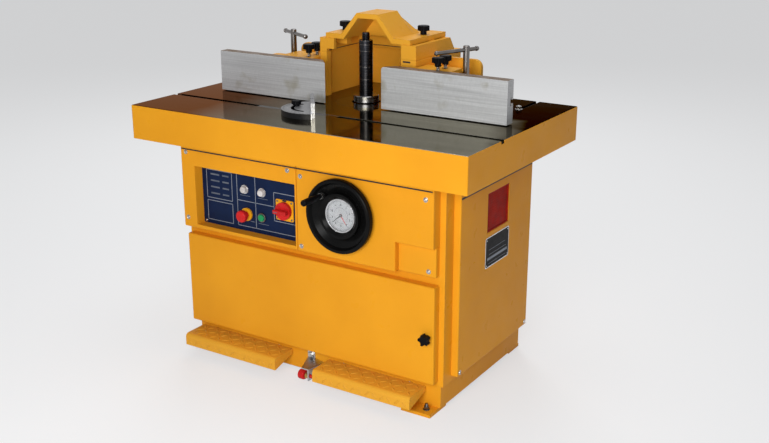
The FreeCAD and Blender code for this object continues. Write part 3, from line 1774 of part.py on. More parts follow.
def fence(sign):
    """Planed fence with a T-slot along its back and its inner end bevelled and rounded."""
    front = mid - (S.right_fence_front if sign > 0 else S.left_fence_front)
    back = front + S.fence_thickness
    low, high = fence_bottom, fence_bottom + S.fence_height
    middle = (low + high) / 2
    mouth, wide = S.fence_slot_mouth / 2, S.fence_slot_width / 2
    lip = back - S.fence_slot_lip
    floor = back - S.fence_slot_depth
    section = [
        (front, low),
        (back, low),
        (back, middle - mouth),
        (lip, middle - mouth),
        (lip, middle - wide),
        (floor, middle - wide),
        (floor, middle + wide),
        (lip, middle + wide),
        (lip, middle + mouth),
        (back, middle + mouth),
        (back, high),
        (front, high),
    ]
    start = S.right_fence_start if sign > 0 else S.left_fence_start
    end = S.right_fence_end if sign > 0 else S.left_fence_end
    across = side((start, end), sign)
    body = pad(new_body("fence"), "YZ", [section], *across)
    soften(body, S.fence_edge, lambda edge: runs_along(edge, "x") and lies_at(edge, "z", high))
    tip = across[0] if sign > 0 else across[1]
    bevel = [(tip, front), (tip, back), (tip + S.fence_thickness * sign, back)]
    pocket(body, "XY", [bevel], low - S.fence_edge, high + S.fence_edge)
    corner = S.fence_corner
    depth = (front - corner, back + corner)
    block = box(side_of(tip, corner * sign), depth, (high - corner, high + corner))
    return cut(body, cut(block, rod("Y", (tip + corner * sign, high - corner), corner, depth)))


def t_handle(sign):
    """Clamp screw with a sliding tommy bar through its head."""
    at = (S.handle_x * sign, handle_y)
    shoulder = table_top + S.flange_height + S.seat_gap
    post = turned(
        "Z",
        (*at, shoulder),
        [
            (0, plate_bottom - shoulder),
            (S.handle_stud_radius, plate_bottom - shoulder),
            (S.handle_stud_radius, zero),
            (S.handle_radius, zero),
            (S.handle_radius, handle_top - shoulder - S.handle_chamfer),
            (S.handle_radius - S.handle_chamfer, handle_top - shoulder),
            (0, handle_top - shoulder),
        ],
    )
    shift = S.right_bar_shift if sign > 0 else S.left_bar_shift
    half = S.handle_bar_length / 2
    end = S.handle_bar_radius
    round_off = S.handle_chamfer
    bar = new_body("bar")
    turn = bar.newObject("PartDesign::Revolution", "turn")
    outline = [
        (shift - half, zero),
        (shift + half, zero),
        (shift + half, end - round_off),
        (shift + half - round_off, end),
        (shift - half + round_off, end),
        (shift - half, end - round_off),
    ]
    sketch = draw(bar, "XY", [outline], zero)
    turn.Profile = sketch
    turn.ReferenceAxis = (sketch, ["H_Axis"])
    turn.Angle = FULL_TURN
    bar_z = handle_top - S.handle_bar_drop
    put(bar, *at, bar_z, FreeCAD.Rotation(FreeCAD.Vector(0, 0, 1), 1))
    tie(bar, "Placement.Rotation.Angle", S.right_bar_angle if sign > 0 else S.left_bar_angle)
    return fuse(post, bar)


# Mitre gauge
def mitre_bar():
    """Bar that slides in the table's slot, with the head's pivot pin."""
    low = table_top - S.mitre_slot_depth + S.slide_gap
    top = table_top - S.slide_gap
    bar = box(
        (S.mitre_x - S.mitre_bar_left, S.mitre_x + S.mitre_bar_right),
        span(mitre_y, S.mitre_slot_width - S.slide_gap * 2),
        (low, top),
    )
    pin_ends = (top, head_top - S.seat_gap)
    return fuse(bar, rod("Z", (S.mitre_x, mitre_y), S.mitre_pin_radius, pin_ends))


def mitre_head():
    """Half-round head with an arc slot and a face plate, turned about its pivot."""
    body = new_body("mitre")
    sketch = body.newObject("Sketcher::SketchObject", "half_disc")
    base = next(f for f in body.Origin.OriginFeatures if f.Role == "XY_Plane")
    sketch.AttachmentSupport = [(base, "")]
    sketch.MapMode = "FlatFace"
    radius = S.mitre_radius.amount
    round_edge = Part.Circle(FreeCAD.Vector(), FreeCAD.Vector(0, 0, 1), radius)
    sketch.addGeometry(Part.ArcOfCircle(round_edge, math.pi / 2, 3 * math.pi / 2))
    top_end, low_end = FreeCAD.Vector(0, radius, 0), FreeCAD.Vector(0, -radius, 0)
    sketch.addGeometry(Part.LineSegment(low_end, top_end))
    sketch.addConstraint(Sketcher.Constraint("Coincident", 0, 3, -1, 1))
    sketch.addConstraint(Sketcher.Constraint("Coincident", 0, 2, 1, 1))
    sketch.addConstraint(Sketcher.Constraint("Coincident", 1, 2, 0, 1))
    sketch.addConstraint(Sketcher.Constraint("PointOnObject", 0, 1, -2))
    sketch.addConstraint(Sketcher.Constraint("PointOnObject", 0, 2, -2))
    index = sketch.addConstraint(Sketcher.Constraint("Radius", 0, radius))
    tie(sketch, f"Constraints[{index}]", S.mitre_radius)
    disc = body.newObject("PartDesign::Pad", "disc")
    disc.Profile = sketch
    tie(disc, "Length", S.mitre_thickness)
    face_depth = (-S.mitre_face_thickness / 2, S.mitre_face_thickness)
    face = rectangle(face_depth, span(zero, S.mitre_face_length))
    pad(body, "XY", [face], zero, S.mitre_face_height)
    half = S.knob_stud_radius + S.screw_gap
    slot = rectangle(span(-S.mitre_slot_radius, half * 2), (zero, S.mitre_thickness))
    groove = body.newObject("PartDesign::Groove", "arc_slot")
    line = draw(body, "XZ", [slot], zero)
    groove.Profile = line
    groove.ReferenceAxis = (line, ["V_Axis"])
    groove.Midplane = True
    tie(groove, "Angle", S.mitre_slot_sweep)
    pin = S.mitre_pin_radius + S.running_fit
    pocket(body, "XY", [circle((zero, zero), pin)], zero, S.mitre_face_height)
    put(body, S.mitre_x, mitre_y, head_bottom, FreeCAD.Rotation(FreeCAD.Vector(0, 0, 1), 1))
    tie(body, "Placement.Rotation.Angle", S.mitre_angle)
    return body


def mitre_knob():
    at = (S.mitre_x - S.mitre_slot_radius, mitre_y)
    shape = (S.mitre_knob_radius, S.mitre_knob_neck, S.mitre_knob_head)
    return clamp_knob(at, head_top, (S.seat_gap, S.mitre_thickness), shape)


def right_side_cover():
    depth = (cabinet_side_x, cabinet_side_x + S.side_depth)
    return pocket(side_pan(1), "YZ", [rectangle(*vent)], *depth)


PARTS = {
    "base_plinth": base_plinth(),
    "cabinet_front": cabinet_front(),
    "cabinet_side_left": cabinet_side(-1),
    "cabinet_side_right": cabinet_side(1),
    "rear_cover": rear_cover(),
    "control_cover": control_cover(),
    "control_panel": control_panel(),
    "switch_plates": switch_plates(),
    "indicator_lamps": indicator_lamps(),
    "estop_button": estop_button(),
    "start_button": start_button(),
    "main_switch_handle": main_switch_handle(),
    "wheel_cover": wheel_cover(),
    "right_side_cover": right_side_cover(),
    "left_side_cover": side_pan(-1),
    "lower_door": lower_door(),
    "door_star_knob": door_star_knob(),
    "table": table(),
    "table_ring": table_ring(),
    "spindle_shaft": spindle_shaft(),
    "spacer_rings": spacer_rings(),
    "spindle_pulley": spindle_pulley(),
    "spindle_bearings": spindle_bearings(),
    "quill_housing": quill_housing(),
    "motor": motor(),
    "motor_pulley": motor_pulley(),
    "drive_belt": drive_belt(),
    "lift_frame": lift_frame(),
    "lift_screw": lift_screw(),
    "handwheel_shaft": handwheel_shaft(),
    "handwheel": handwheel(),
    "crank_grip": crank_grip(),
    "dial_case": dial_case(),
    "dial_face": dial_face(),
    "dial_lens": dial_lens(),
    "needle_red": needle(red_low, S.red_needle_length, S.red_needle_angle),
    "needle_black": needle(black_low, S.black_needle_length, S.black_needle_angle),
    "lock_pedal": pedal(lock_span),
    "brake_pedal": pedal(brake_span),
    "pedal_shaft": pedal_shaft(),
    "latch_bracket": latch_bracket(),
    "latch_knob": latch_knob(),
    "fence_body": fence_body(),
    "hood_shell": hood_shell(),
    "hood_lid": hood_lid(),
    "hood_knob_left": hood_knob(-1),
    "hood_knob_right": hood_knob(1),
    "carrier_left": carrier(-1),
    "carrier_right": carrier(1),
    "carrier_knob_left_front": carrier_knob(-1, 0),
    "carrier_knob_left_rear": carrier_knob(-1, 1),
    "carrier_knob_right_front": carrier_knob(1, 0),
    "carrier_knob_right_rear": carrier_knob(1, 1),
    "fence_left": fence(-1),
    "fence_right": fence(1),
    "t_handle_left": t_handle(-1),
    "t_handle_right": t_handle(1),
    "mitre_bar": mitre_bar(),
    "mitre_head": mitre_head(),
    "mitre_knob": mitre_knob(),
}

doc.recompute()
for name, item in PARTS.items():
    item.Label = name

failed = [o.Label for o in doc.Objects if "Invalid" in o.State or "Error" in o.State]
failed += [name for name, o in PARTS.items() if o.Shape.isNull() or not o.Shape.isValid()]
if failed:
    raise RuntimeError(f"these did not build: {failed}")

os.makedirs("parts", exist_ok=True)
for name, item in PARTS.items():
    item.Shape.exportStep(f"parts/{name}.step")
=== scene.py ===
"""Spindle moulder: finishes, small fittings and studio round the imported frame."""

import json
import math

import bmesh
import bpy
from mathutils import Matrix, Vector


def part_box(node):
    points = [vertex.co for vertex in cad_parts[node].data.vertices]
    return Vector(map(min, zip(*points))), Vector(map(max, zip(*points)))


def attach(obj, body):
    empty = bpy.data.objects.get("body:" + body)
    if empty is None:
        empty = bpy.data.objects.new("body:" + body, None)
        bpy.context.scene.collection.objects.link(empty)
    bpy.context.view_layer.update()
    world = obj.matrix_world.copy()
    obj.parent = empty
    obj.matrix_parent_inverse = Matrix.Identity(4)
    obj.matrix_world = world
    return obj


MM = 0.001
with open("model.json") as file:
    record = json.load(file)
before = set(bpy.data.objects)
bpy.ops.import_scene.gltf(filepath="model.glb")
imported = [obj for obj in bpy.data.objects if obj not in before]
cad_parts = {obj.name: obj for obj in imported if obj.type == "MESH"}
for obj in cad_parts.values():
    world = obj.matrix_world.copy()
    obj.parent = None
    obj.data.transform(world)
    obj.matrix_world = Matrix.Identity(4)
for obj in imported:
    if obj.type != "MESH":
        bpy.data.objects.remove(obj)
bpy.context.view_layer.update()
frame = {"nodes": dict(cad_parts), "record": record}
nodes = frame["nodes"]

# Places of controls and castings, in millimetres
DIAL_X, DIAL_Z = 155, 576
SWITCH_X, SWITCH_Z = -84, 539
START_X, START_Z = -175, 500
LAMPS_X, LAMPS_Z = {"left": -241, "right": -172}, 582
CRANK_X, CRANK_Z = 97.5, 631
SIDE_PLATE_Y, SIDE_PLATE_Z = 31, 444
WINDOW_Y, WINDOW_Z = (-37.5, 103.5), (507.5, 629.5)
SPINDLE_X, SPINDLE_Y = 0, 74
HANDLE_X, HANDLE_Y, BAR_Z = 326, 132, 1015
MITRE_X, MITRE_Y, MITRE_TOP, MITRE_TURN = -45, -159.5, 847.3, 37
TABLE_TOP = 830

# Zones of the finishes, in metres
IRON_X, IRON_Y, IRON_Z = (-0.5988, 0.5988), (-0.3618, 0.3658), (0.8185, 0.9)
COLLAR_Z = (0.5, 0.86)
WHEEL_CENTRE, WHEEL_RIM = (DIAL_X * MM, 0.0, DIAL_Z * MM), (0.112, 0.12)
MITRE_FACE, MITRE_PLACE = (0.7986, 0.6018, 0.0), -0.1364

# Colours and marks that finishes share
YELLOW, YELLOW_WORN = (0.86, 0.375, 0.018), (0.76, 0.315, 0.015)
CAST_YELLOW, CAST_WORN = (0.92, 0.45, 0.04), (0.86, 0.4, 0.035)
PRIMER = (0.3, 0.14, 0.03)
# Table top colours: the oiled iron, plus brown and dark tones that are painted reflections, each
# with its reflection tint
OILED_IRON, PAINTED_BROWN_REFLECTION, PAINTED_DARK_REFLECTION = (0.34, 0.335, 0.28), (0.1, 0.042, 0.022), (0.03, 0.024, 0.02)
OILED_GLANCE, BROWN_REFLECTION_TINT, DARK_REFLECTION_TINT = (0.7, 0.67, 0.6), (0.66, 0.42, 0.32), (0.3, 0.26, 0.23)
IRON_MARK = (0.05, 0.042, 0.036)
ALLOY_DULL, ALLOY_BRIGHT = (0.46, 0.465, 0.47), (0.62, 0.625, 0.63)
ALLOY_BAND, ALLOY_GRAIN = (0.42, 0.425, 0.43), (0.42, 0.42, 0.43)
# The stain is the alloy's own; the brown next to it is painted shade for the fences' upward faces
STAIN, PAINTED_TOP_SHADE = (0.3, 0.27, 0.18), (0.13, 0.065, 0.018)
EVEN_MARKS, STEEL_MARKS = (1.0, 1.0, 1.0), (1.0, 1.0, 30.0)
CROSS_MARKS, FEW_MARKS = (1.0, 12.0, 1.0), (1.0, 1.0, 0.3)
USUAL_NOISE = (0.3, 0.7)


# Materials
class Finish:
    """A material whose node graph ends in one Principled shader."""

    def __init__(self, name, **fixed):
        self.material = bpy.data.materials.new(name)
        self.material.use_nodes = True
        self.tree = self.material.node_tree
        self.shader = self.tree.nodes["Principled BSDF"]
        self.object = self.node("ShaderNodeTexCoord").outputs["Object"]
        self.set(**fixed)

    def set(self, **sockets):
        for name, value in sockets.items():
            self.feed(self.shader.inputs[name.replace("_", " ")], value)

    def feed(self, socket, value):
        if isinstance(value, bpy.types.NodeSocket):
            self.tree.links.new(value, socket)
        elif isinstance(value, tuple) and len(value) == 3 and socket.type == "RGBA":
            socket.default_value = (*value, 1.0)
        else:
            socket.default_value = value

    def node(self, kind, inputs=None, **settings):
        made = self.tree.nodes.new(kind)
        for name, value in settings.items():
            setattr(made, name, value)
        for name, value in (inputs or {}).items():
            self.feed(made.inputs[name], value)
        return made

    def noise(self, scale, detail=2.0, stretch=EVEN_MARKS):
        place = self.node("ShaderNodeMapping", {"Vector": self.object, "Scale": stretch})
        inputs = {"Vector": place.outputs[0], "Scale": scale, "Detail": detail}
        return self.node("ShaderNodeTexNoise", inputs).outputs["Fac"]

    def level(self, value, low, high, to_low=0.0, to_high=1.0):
        inputs = {0: value, 1: low, 2: high, 3: to_low, 4: to_high}
        return self.node("ShaderNodeMapRange", inputs).outputs[0]

    def spread(self, noise, to_low=0.0, to_high=1.0):
        """Noise taken from its usual range to another."""
        return self.level(noise, *USUAL_NOISE, to_low, to_high)

    def math(self, operation, first, second):
        return self.node("ShaderNodeMath", {0: first, 1: second}, operation=operation).outputs[0]

    def times(self, first, second):
        return self.math("MULTIPLY", first, second)

    def vector(self, operation, *values):
        inputs = dict(enumerate(values))
        return self.node("ShaderNodeVectorMath", inputs, operation=operation).outputs

    def mix(self, share, first, second):
        inputs = {0: share, 6: first, 7: second}
        return self.node("ShaderNodeMix", inputs, data_type="RGBA").outputs[2]

    def rounded(self, radius):
        """The normal, turned round sharp edges; the radius is in millimetres."""
        return self.node("ShaderNodeBevel", {"Radius": radius * MM}, samples=4).outputs[0]

    def edge(self, rounded):
        """1 along outside edges, 0 on open faces."""
        flat = self.node("ShaderNodeNewGeometry").outputs["Normal"]
        return self.level(self.vector("DOT_PRODUCT", rounded, flat)["Value"], 0.97, 0.75)

    def bump(self, height, depth, rounded):
        inputs = {"Height": height, "Distance": depth, "Strength": 1.0, "Normal": rounded}
        self.set(Normal=self.node("ShaderNodeBump", inputs).outputs[0])

    def where(self, axis, low, high):
        """1 between two places along an axis of the object."""
        place = self.node("ShaderNodeSeparateXYZ", {0: self.object}).outputs[axis]
        above = self.math("GREATER_THAN", place, low)
        return self.times(above, self.math("LESS_THAN", place, high))

    def facing_up(self):
        normal = self.node("ShaderNodeTexCoord").outputs["Normal"]
        up = self.node("ShaderNodeSeparateXYZ", {0: normal}).outputs["Z"]
        return self.math("GREATER_THAN", up, 0.8)

    def enamel(self, colour, worn, chip_and_highlight, rounded):
        """Cloudy paint, chipped along its edges; where the chip colour is lighter, a painted
        highlight along them.
        """
        chips_and_highlights = self.level(self.noise(70.0, 4.0), 0.55, 0.62)
        base = self.mix(self.spread(self.noise(3.0, 4.0)), worn, colour)
        return self.mix(self.times(self.edge(rounded), chips_and_highlights), base, chip_and_highlight)

    def enamel_gloss(self):
        return self.spread(self.noise(22.0, 5.0), 0.26, 0.42)


def painted(name, colour, worn, chip_and_highlight, peel, grain, soft=1.2):
    """Sprayed enamel: cloudy tone, edge chips (on the tread, a painted highlight) and orange peel
    over the metal's own grain.
    """
    finish = Finish(name, IOR=1.16)
    rounded = finish.rounded(soft)
    finish.set(Base_Color=finish.enamel(colour, worn, chip_and_highlight, rounded))
    finish.set(Roughness=finish.enamel_gloss())
    finish.bump(finish.spread(finish.noise(grain, 3.0)), peel, rounded)
    return finish.material


def plastic(name, colour, dull, roughness, grain, depth, index=1.25):
    """Moulded plastic: faint flow tone, fine skin grain and rubbed edges."""
    finish = Finish(name, IOR=index)
    rounded = finish.rounded(0.8)
    tone = finish.mix(finish.level(finish.noise(30.0, 4.0), 0.35, 0.65), dull, colour)
    rubbed = tuple(0.8 * part + 0.008 for part in colour)
    finish.set(Base_Color=finish.mix(finish.times(finish.edge(rounded), 0.5), tone, rubbed))
    finish.set(Roughness=finish.spread(finish.noise(60.0, 3.0), *roughness))
    finish.bump(finish.noise(grain, 2.0), depth, rounded)
    return finish.material


def metal(name, colour, dark, roughness, stretch, scale, depth):
    """Bare metal with stains, and tool marks that run along the short side of the stretch."""
    finish = Finish(name, Metallic=1.0)
    marks = finish.noise(scale, 4.0, stretch)
    stains = finish.level(finish.noise(18.0, 5.0), 0.5, 0.72)
    tone = finish.mix(finish.spread(marks), dark, colour)
    stained = tuple(0.55 * part for part in dark)
    finish.set(Base_Color=finish.mix(finish.times(stains, 0.5), tone, stained))
    finish.set(Roughness=finish.spread(marks, *roughness))
    finish.bump(marks, depth, finish.rounded(0.6))
    return finish.material


def table_finish():
    """Ground iron top, oiled, with painted reflections: brown to the left and dark to the right;
    painted sides.
    """
    finish = Finish("table_iron", IOR=1.2)
    inside = finish.times(finish.where("X", *IRON_X), finish.where("Y", *IRON_Y))
    top = finish.times(inside, finish.where("Z", *IRON_Z))
    spot = finish.node("ShaderNodeSeparateXYZ", {0: finish.object}).outputs
    # Noise that wobbles the edges of the painted reflection zones
    zone_wobble = finish.times(finish.math("SUBTRACT", finish.noise(2.6, 5.0), 0.5), 0.4)
    along = finish.math("ADD", spot["X"], zone_wobble)
    # Painted reflections: brown towards the left, dark towards the right and at the rear right
    brown = finish.level(along, -0.05, -0.4)
    rear = finish.times(finish.level(spot["Y"], 0.02, 0.1), finish.level(along, 0.1, 0.3))
    corner = finish.math("ADD", along, finish.times(spot["Y"], 0.5))
    dark = finish.math("MAXIMUM", finish.level(corner, 0.46, 0.58), rear)
    # The iron tone here carries the painted reflections
    iron = finish.mix(dark, finish.mix(brown, OILED_IRON, PAINTED_BROWN_REFLECTION), PAINTED_DARK_REFLECTION)
    reflection_tint = finish.mix(dark, finish.mix(brown, OILED_GLANCE, BROWN_REFLECTION_TINT), DARK_REFLECTION_TINT)
    marks = finish.noise(60.0, 4.0, (1.0, 14.0, 1.0))
    iron = finish.mix(finish.level(marks, 0.3, 0.75, 0.0, 0.3), iron, IRON_MARK)
    rounded = finish.rounded(1.2)
    paint = finish.enamel(YELLOW, YELLOW_WORN, PRIMER, rounded)
    # The specular tint follows the painted reflection zones
    finish.set(Base_Color=finish.mix(top, paint, iron), Metallic=top, Specular_Tint=reflection_tint)
    smear = finish.level(finish.noise(7.0, 5.0, (1.0, 3.0, 1.0)), 0.35, 0.7, 0.05, 0.13)
    gloss = finish.enamel_gloss()
    gap = finish.math("SUBTRACT", smear, gloss)
    finish.set(Roughness=finish.math("ADD", gloss, finish.times(gap, top)))
    skin = finish.times(finish.noise(420.0, 3.0), finish.level(top, 0.0, 1.0, 1.0, 0.04))
    finish.bump(skin, 0.00012, rounded)
    return finish.material


def fence_finish():
    """Planed light alloy: level cutter marks, dull bands, handling stains, and a brown painted
    shade on its upward faces.
    """
    finish = Finish("fence_aluminium", Metallic=0.35, IOR=1.36)
    marks = finish.noise(1.0, 5.0, (4.0, 40.0, 260.0))
    bands = finish.noise(1.0, 3.0, (1.5, 8.0, 34.0))
    grain = finish.noise(1.0, 4.0, (260.0, 60.0, 90.0))
    stains = finish.noise(14.0, 6.0)
    top_shade_share = finish.spread(finish.noise(30.0, 4.0), 0.7, 1.0)
    tone = finish.mix(finish.spread(marks), ALLOY_DULL, ALLOY_BRIGHT)
    tone = finish.mix(finish.level(bands, 0.5, 0.72, 0.0, 0.3), tone, ALLOY_BAND)
    tone = finish.mix(finish.level(grain, 0.35, 0.7, 0.0, 0.3), tone, ALLOY_GRAIN)
    tone = finish.mix(finish.level(stains, 0.58, 0.72, 0.0, 0.55), tone, STAIN)
    # Painted shade: brown on the upward faces, in noisy patches
    tone = finish.mix(finish.times(finish.facing_up(), top_shade_share), tone, PAINTED_TOP_SHADE)
    finish.set(Base_Color=tone, Roughness=finish.level(marks, 0.25, 0.75, 0.36, 0.56))
    finish.bump(marks, 0.00012, finish.rounded(0.8))
    return finish.material


def spindle_finish():
    """Bright ground collar below, blacked nose above."""
    finish = Finish("dark_steel", Metallic=1.0)
    collar = finish.where("Z", *COLLAR_Z)
    marks = finish.noise(24.0, 4.0, STEEL_MARKS)
    bright = finish.mix(finish.spread(marks), (0.09, 0.088, 0.086), (0.3, 0.296, 0.29))
    black = finish.mix(marks, (0.016, 0.016, 0.018), (0.042, 0.042, 0.046))
    finish.set(Base_Color=finish.mix(collar, black, bright))
    finish.set(Roughness=finish.spread(marks, 0.16, 0.3))
    finish.bump(marks, 0.00004, finish.rounded(0.6))
    return finish.material


def wheel_finish():
    """Glossy black moulding, its rim painted brown in patches as a highlight."""
    finish = Finish("black_gloss", IOR=1.16)
    spot = finish.vector("SUBTRACT", finish.object, WHEEL_CENTRE)[0]
    flat = finish.vector("MULTIPLY", spot, (1.0, 0.0, 1.0))[0]
    rim = finish.level(finish.vector("LENGTH", flat)["Value"], *WHEEL_RIM)
    rim_highlight_patches = finish.spread(finish.noise(40.0, 4.0), 0.3, 1.0)
    black = finish.mix(finish.noise(30.0, 4.0), (0.003, 0.003, 0.003), (0.006, 0.006, 0.006))
    # Painted highlight: brown on the rim, broken into noisy patches
    finish.set(Base_Color=finish.mix(finish.times(rim, rim_highlight_patches), black, (0.03, 0.026, 0.019)))
    finish.set(Roughness=finish.spread(finish.noise(60.0, 3.0), 0.18, 0.28))
    finish.bump(finish.noise(90.0, 2.0), 0.00004, finish.rounded(0.8))
    return finish.material


def mitre_finish():
    """Machined top and face plate, black painted sides."""
    finish = Finish("mitre_iron", IOR=1.25)
    along = finish.vector("DOT_PRODUCT", finish.object, MITRE_FACE)["Value"]
    plate = finish.math("GREATER_THAN", along, MITRE_PLACE)
    bare = finish.math("MAXIMUM", finish.facing_up(), plate)
    marks = finish.noise(140.0, 4.0, (1.0, 6.0, 1.0))
    bright = finish.mix(finish.spread(marks), (0.24, 0.24, 0.245), (0.58, 0.58, 0.59))
    black = finish.mix(finish.noise(40.0, 3.0), (0.006, 0.006, 0.007), (0.014, 0.014, 0.015))
    finish.set(Base_Color=finish.mix(bare, black, bright), Metallic=bare)
    finish.set(Roughness=finish.spread(marks, 0.28, 0.45))
    finish.bump(finish.noise(240.0, 3.0), 0.00015, finish.rounded(0.8))
    return finish.material


def lens_finish():
    """Thin clear cover: mostly see-through, with its gloss and faint dust."""
    finish = Finish("dial_glass", Base_Color=(0.9, 0.95, 0.95), IOR=1.45)
    dust = finish.level(finish.noise(160.0, 5.0), 0.5, 0.8)
    finish.set(Alpha=finish.level(dust, 0.0, 1.0, 0.07, 0.16))
    finish.set(Roughness=finish.level(dust, 0.0, 1.0, 0.03, 0.2))
    return finish.material


# Colour, worn colour, colour of chips (on the tread, a lighter painted highlight), depth and scale
# of the orange peel, softness of edges
PAINTS = {
    "yellow_paint": (YELLOW, YELLOW_WORN, PRIMER, 6e-5, 420.0),
    "cast_paint": (CAST_YELLOW, CAST_WORN, CAST_WORN, 4e-4, 150.0, 4.0),
    # The tread's lighter chip colour is a painted highlight along the ribs' edges
    "tread_paint": ((0.86, 0.43, 0.04), (0.8, 0.38, 0.035), (0.9, 0.55, 0.14), 1e-4, 300.0),
    "motor_paint": ((0.06, 0.09, 0.12), (0.045, 0.07, 0.1), (0.2, 0.2, 0.2), 3e-4, 160.0),
}
# Colour, dull colour, range of roughness, scale and depth of the skin's grain, refraction
PLASTICS = {
    "blue_panel": ((0.006, 0.016, 0.056), (0.005, 0.013, 0.046), (0.3, 0.42), 500.0, 2e-5, 1.18),
    "yellow_plastic": ((0.88, 0.42, 0.012), (0.8, 0.36, 0.01), (0.25, 0.35), 400.0, 3e-5),
    "lamp_plastic": ((0.72, 0.7, 0.69), (0.5, 0.48, 0.47), (0.08, 0.16), 200.0, 4e-5),
    "red_plastic": ((0.64, 0.018, 0.018), (0.52, 0.014, 0.014), (0.22, 0.34), 300.0, 4e-5),
    "green_plastic": ((0.015, 0.34, 0.11), (0.012, 0.24, 0.08), (0.22, 0.34), 300.0, 4e-5),
    "black_plastic": ((0.003, 0.003, 0.004), (0.006, 0.006, 0.007), (0.3, 0.45), 500.0, 6e-5, 1.15),
    "dial_white": ((0.47, 0.48, 0.5), (0.4, 0.41, 0.43), (0.45, 0.6), 400.0, 2e-5),
    "belt_rubber": ((0.015, 0.015, 0.015), (0.03, 0.03, 0.03), (0.6, 0.8), 250.0, 2e-4),
    "vent_red": ((0.5, 0.02, 0.008), (0.36, 0.014, 0.006), (0.4, 0.6), 200.0, 1e-4),
    "print_white": ((0.28, 0.31, 0.36), (0.23, 0.26, 0.31), (0.4, 0.5), 300.0, 1e-5),
    "print_grey": ((0.15, 0.17, 0.21), (0.1, 0.12, 0.16), (0.4, 0.5), 300.0, 1e-5),
    "print_black": ((0.02, 0.02, 0.022), (0.035, 0.035, 0.04), (0.4, 0.5), 300.0, 1e-5),
}
# Colour, dark colour, range of roughness, stretch, scale and depth of the tool marks
METALS = {
    "ring_iron": ((0.1, 0.085, 0.07), (0.06, 0.05, 0.042), (0.1, 0.22), CROSS_MARKS, 60.0, 1e-5),
    "grey_iron": ((0.3, 0.3, 0.3), (0.16, 0.16, 0.16), (0.45, 0.65), EVEN_MARKS, 160.0, 3e-4),
    "pulley_iron": ((0.42, 0.42, 0.42), (0.24, 0.24, 0.24), (0.28, 0.45), STEEL_MARKS, 20.0, 5e-5),
    "worn_steel": ((0.26, 0.245, 0.235), (0.15, 0.135, 0.125), (0.18, 0.28), FEW_MARKS, 16.0, 1e-5),
    "black_steel": ((0.04, 0.04, 0.045), (0.02, 0.02, 0.024), (0.2, 0.34), STEEL_MARKS, 20.0, 5e-5),
    "bright_steel": ((0.62, 0.61, 0.59), (0.4, 0.39, 0.37), (0.18, 0.32), STEEL_MARKS, 30.0, 3e-5),
    "dial_metal": ((0.72, 0.72, 0.73), (0.55, 0.55, 0.56), (0.14, 0.26), STEEL_MARKS, 40.0, 2e-5),
    "zinc": ((0.62, 0.63, 0.65), (0.46, 0.47, 0.49), (0.3, 0.45), EVEN_MARKS, 40.0, 3e-5),
    "brass": ((0.62, 0.4, 0.12), (0.42, 0.26, 0.08), (0.22, 0.36), STEEL_MARKS, 30.0, 3e-5),
}
FINISHES = {
    "black_gloss": wheel_finish(),
    "table_iron": table_finish(),
    "fence_aluminium": fence_finish(),
    "mitre_iron": mitre_finish(),
    "dial_glass": lens_finish(),
    "dark_steel": spindle_finish(),
}
for build, rows in ((painted, PAINTS), (plastic, PLASTICS), (metal, METALS)):
    FINISHES.update({name: build(name, *row) for name, row in rows.items()})

# Nodes whose finish is finer than their slot
OWN_FINISH = {
    "fence_body": "cast_paint",
    "hood_shell": "cast_paint",
    "hood_lid": "cast_paint",
    "carrier_left": "cast_paint",
    "carrier_right": "cast_paint",
    "latch_bracket": "zinc",
    "table_ring": "ring_iron",
    "mitre_bar": "ring_iron",
    "t_handle_left": "worn_steel",
    "t_handle_right": "worn_steel",
}
for part in frame["record"]["subparts"]:
    node = nodes[part["node"]]
    chosen = OWN_FINISH.get(part["node"], part["material_slot"])
    node.data.materials.clear()
    node.data.materials.append(FINISHES[chosen])


# Mesh building, in millimetres
def turned(*profile, steps=36):
    """A turned mesh about Z from (radius, height) points; the outline is closed."""
    mesh = bmesh.new()
    rings = []
    angles = [2 * math.pi * step / steps for step in range(steps)]
    for radius, height in profile:
        spots = [(radius * math.cos(a), radius * math.sin(a), height) for a in angles]
        spots = spots if radius else [(0, 0, height)]
        rings.append([mesh.verts.new(spot) for spot in spots])
    closing = [] if len(rings[0]) == 1 and len(rings[-1]) == 1 else [(rings[-1], rings[0])]
    for low, high in list(zip(rings, rings[1:])) + closing:
        for step in range(steps):
            corners = [low[step % len(low)], low[(step + 1) % len(low)]]
            corners += [high[(step + 1) % len(high)], high[step % len(high)]]
            mesh.faces.new(list(dict.fromkeys(corners)))
    bmesh.ops.recalc_face_normals(mesh, faces=mesh.faces)
    return mesh


def prism(outline, low, high):
    """A straight prism along Z."""
    mesh = bmesh.new()
    base = [mesh.verts.new((x, y, low)) for x, y in outline]
    top = [mesh.verts.new((x, y, high)) for x, y in outline]
    mesh.faces.new(base)
    mesh.faces.new(top)
    for index in range(len(base)):
        after = (index + 1) % len(base)
        mesh.faces.new((base[index], base[after], top[after], top[index]))
    bmesh.ops.recalc_face_normals(mesh, faces=mesh.faces)
    return mesh


def block(across, along, up):
    (x0, x1), (y0, y1) = across, along
    return prism([(x0, y0), (x1, y0), (x1, y1), (x0, y1)], *up)


def rounded_outline(width, height, radius, steps=6):
    points = []
    for corner, (sx, sy) in enumerate(((1, 1), (-1, 1), (-1, -1), (1, -1))):
        x, y = sx * (width / 2 - radius), sy * (height / 2 - radius)
        for step in range(steps + 1):
            angle = math.pi / 2 * (corner + step / steps)
            points.append((x + radius * math.cos(angle), y + radius * math.sin(angle)))
    return points


def hexagon(across_flats):
    radius = across_flats / math.sqrt(3)
    angles = [math.pi * corner / 3 for corner in range(6)]
    return [(radius * math.cos(angle), radius * math.sin(angle)) for angle in angles]


def joined(*meshes):
    """All the meshes in the first one."""
    first = meshes[0]
    for other in meshes[1:]:
        spare = bpy.data.meshes.new("spare")
        other.to_mesh(spare)
        first.from_mesh(spare)
        bpy.data.meshes.remove(spare)
    return first


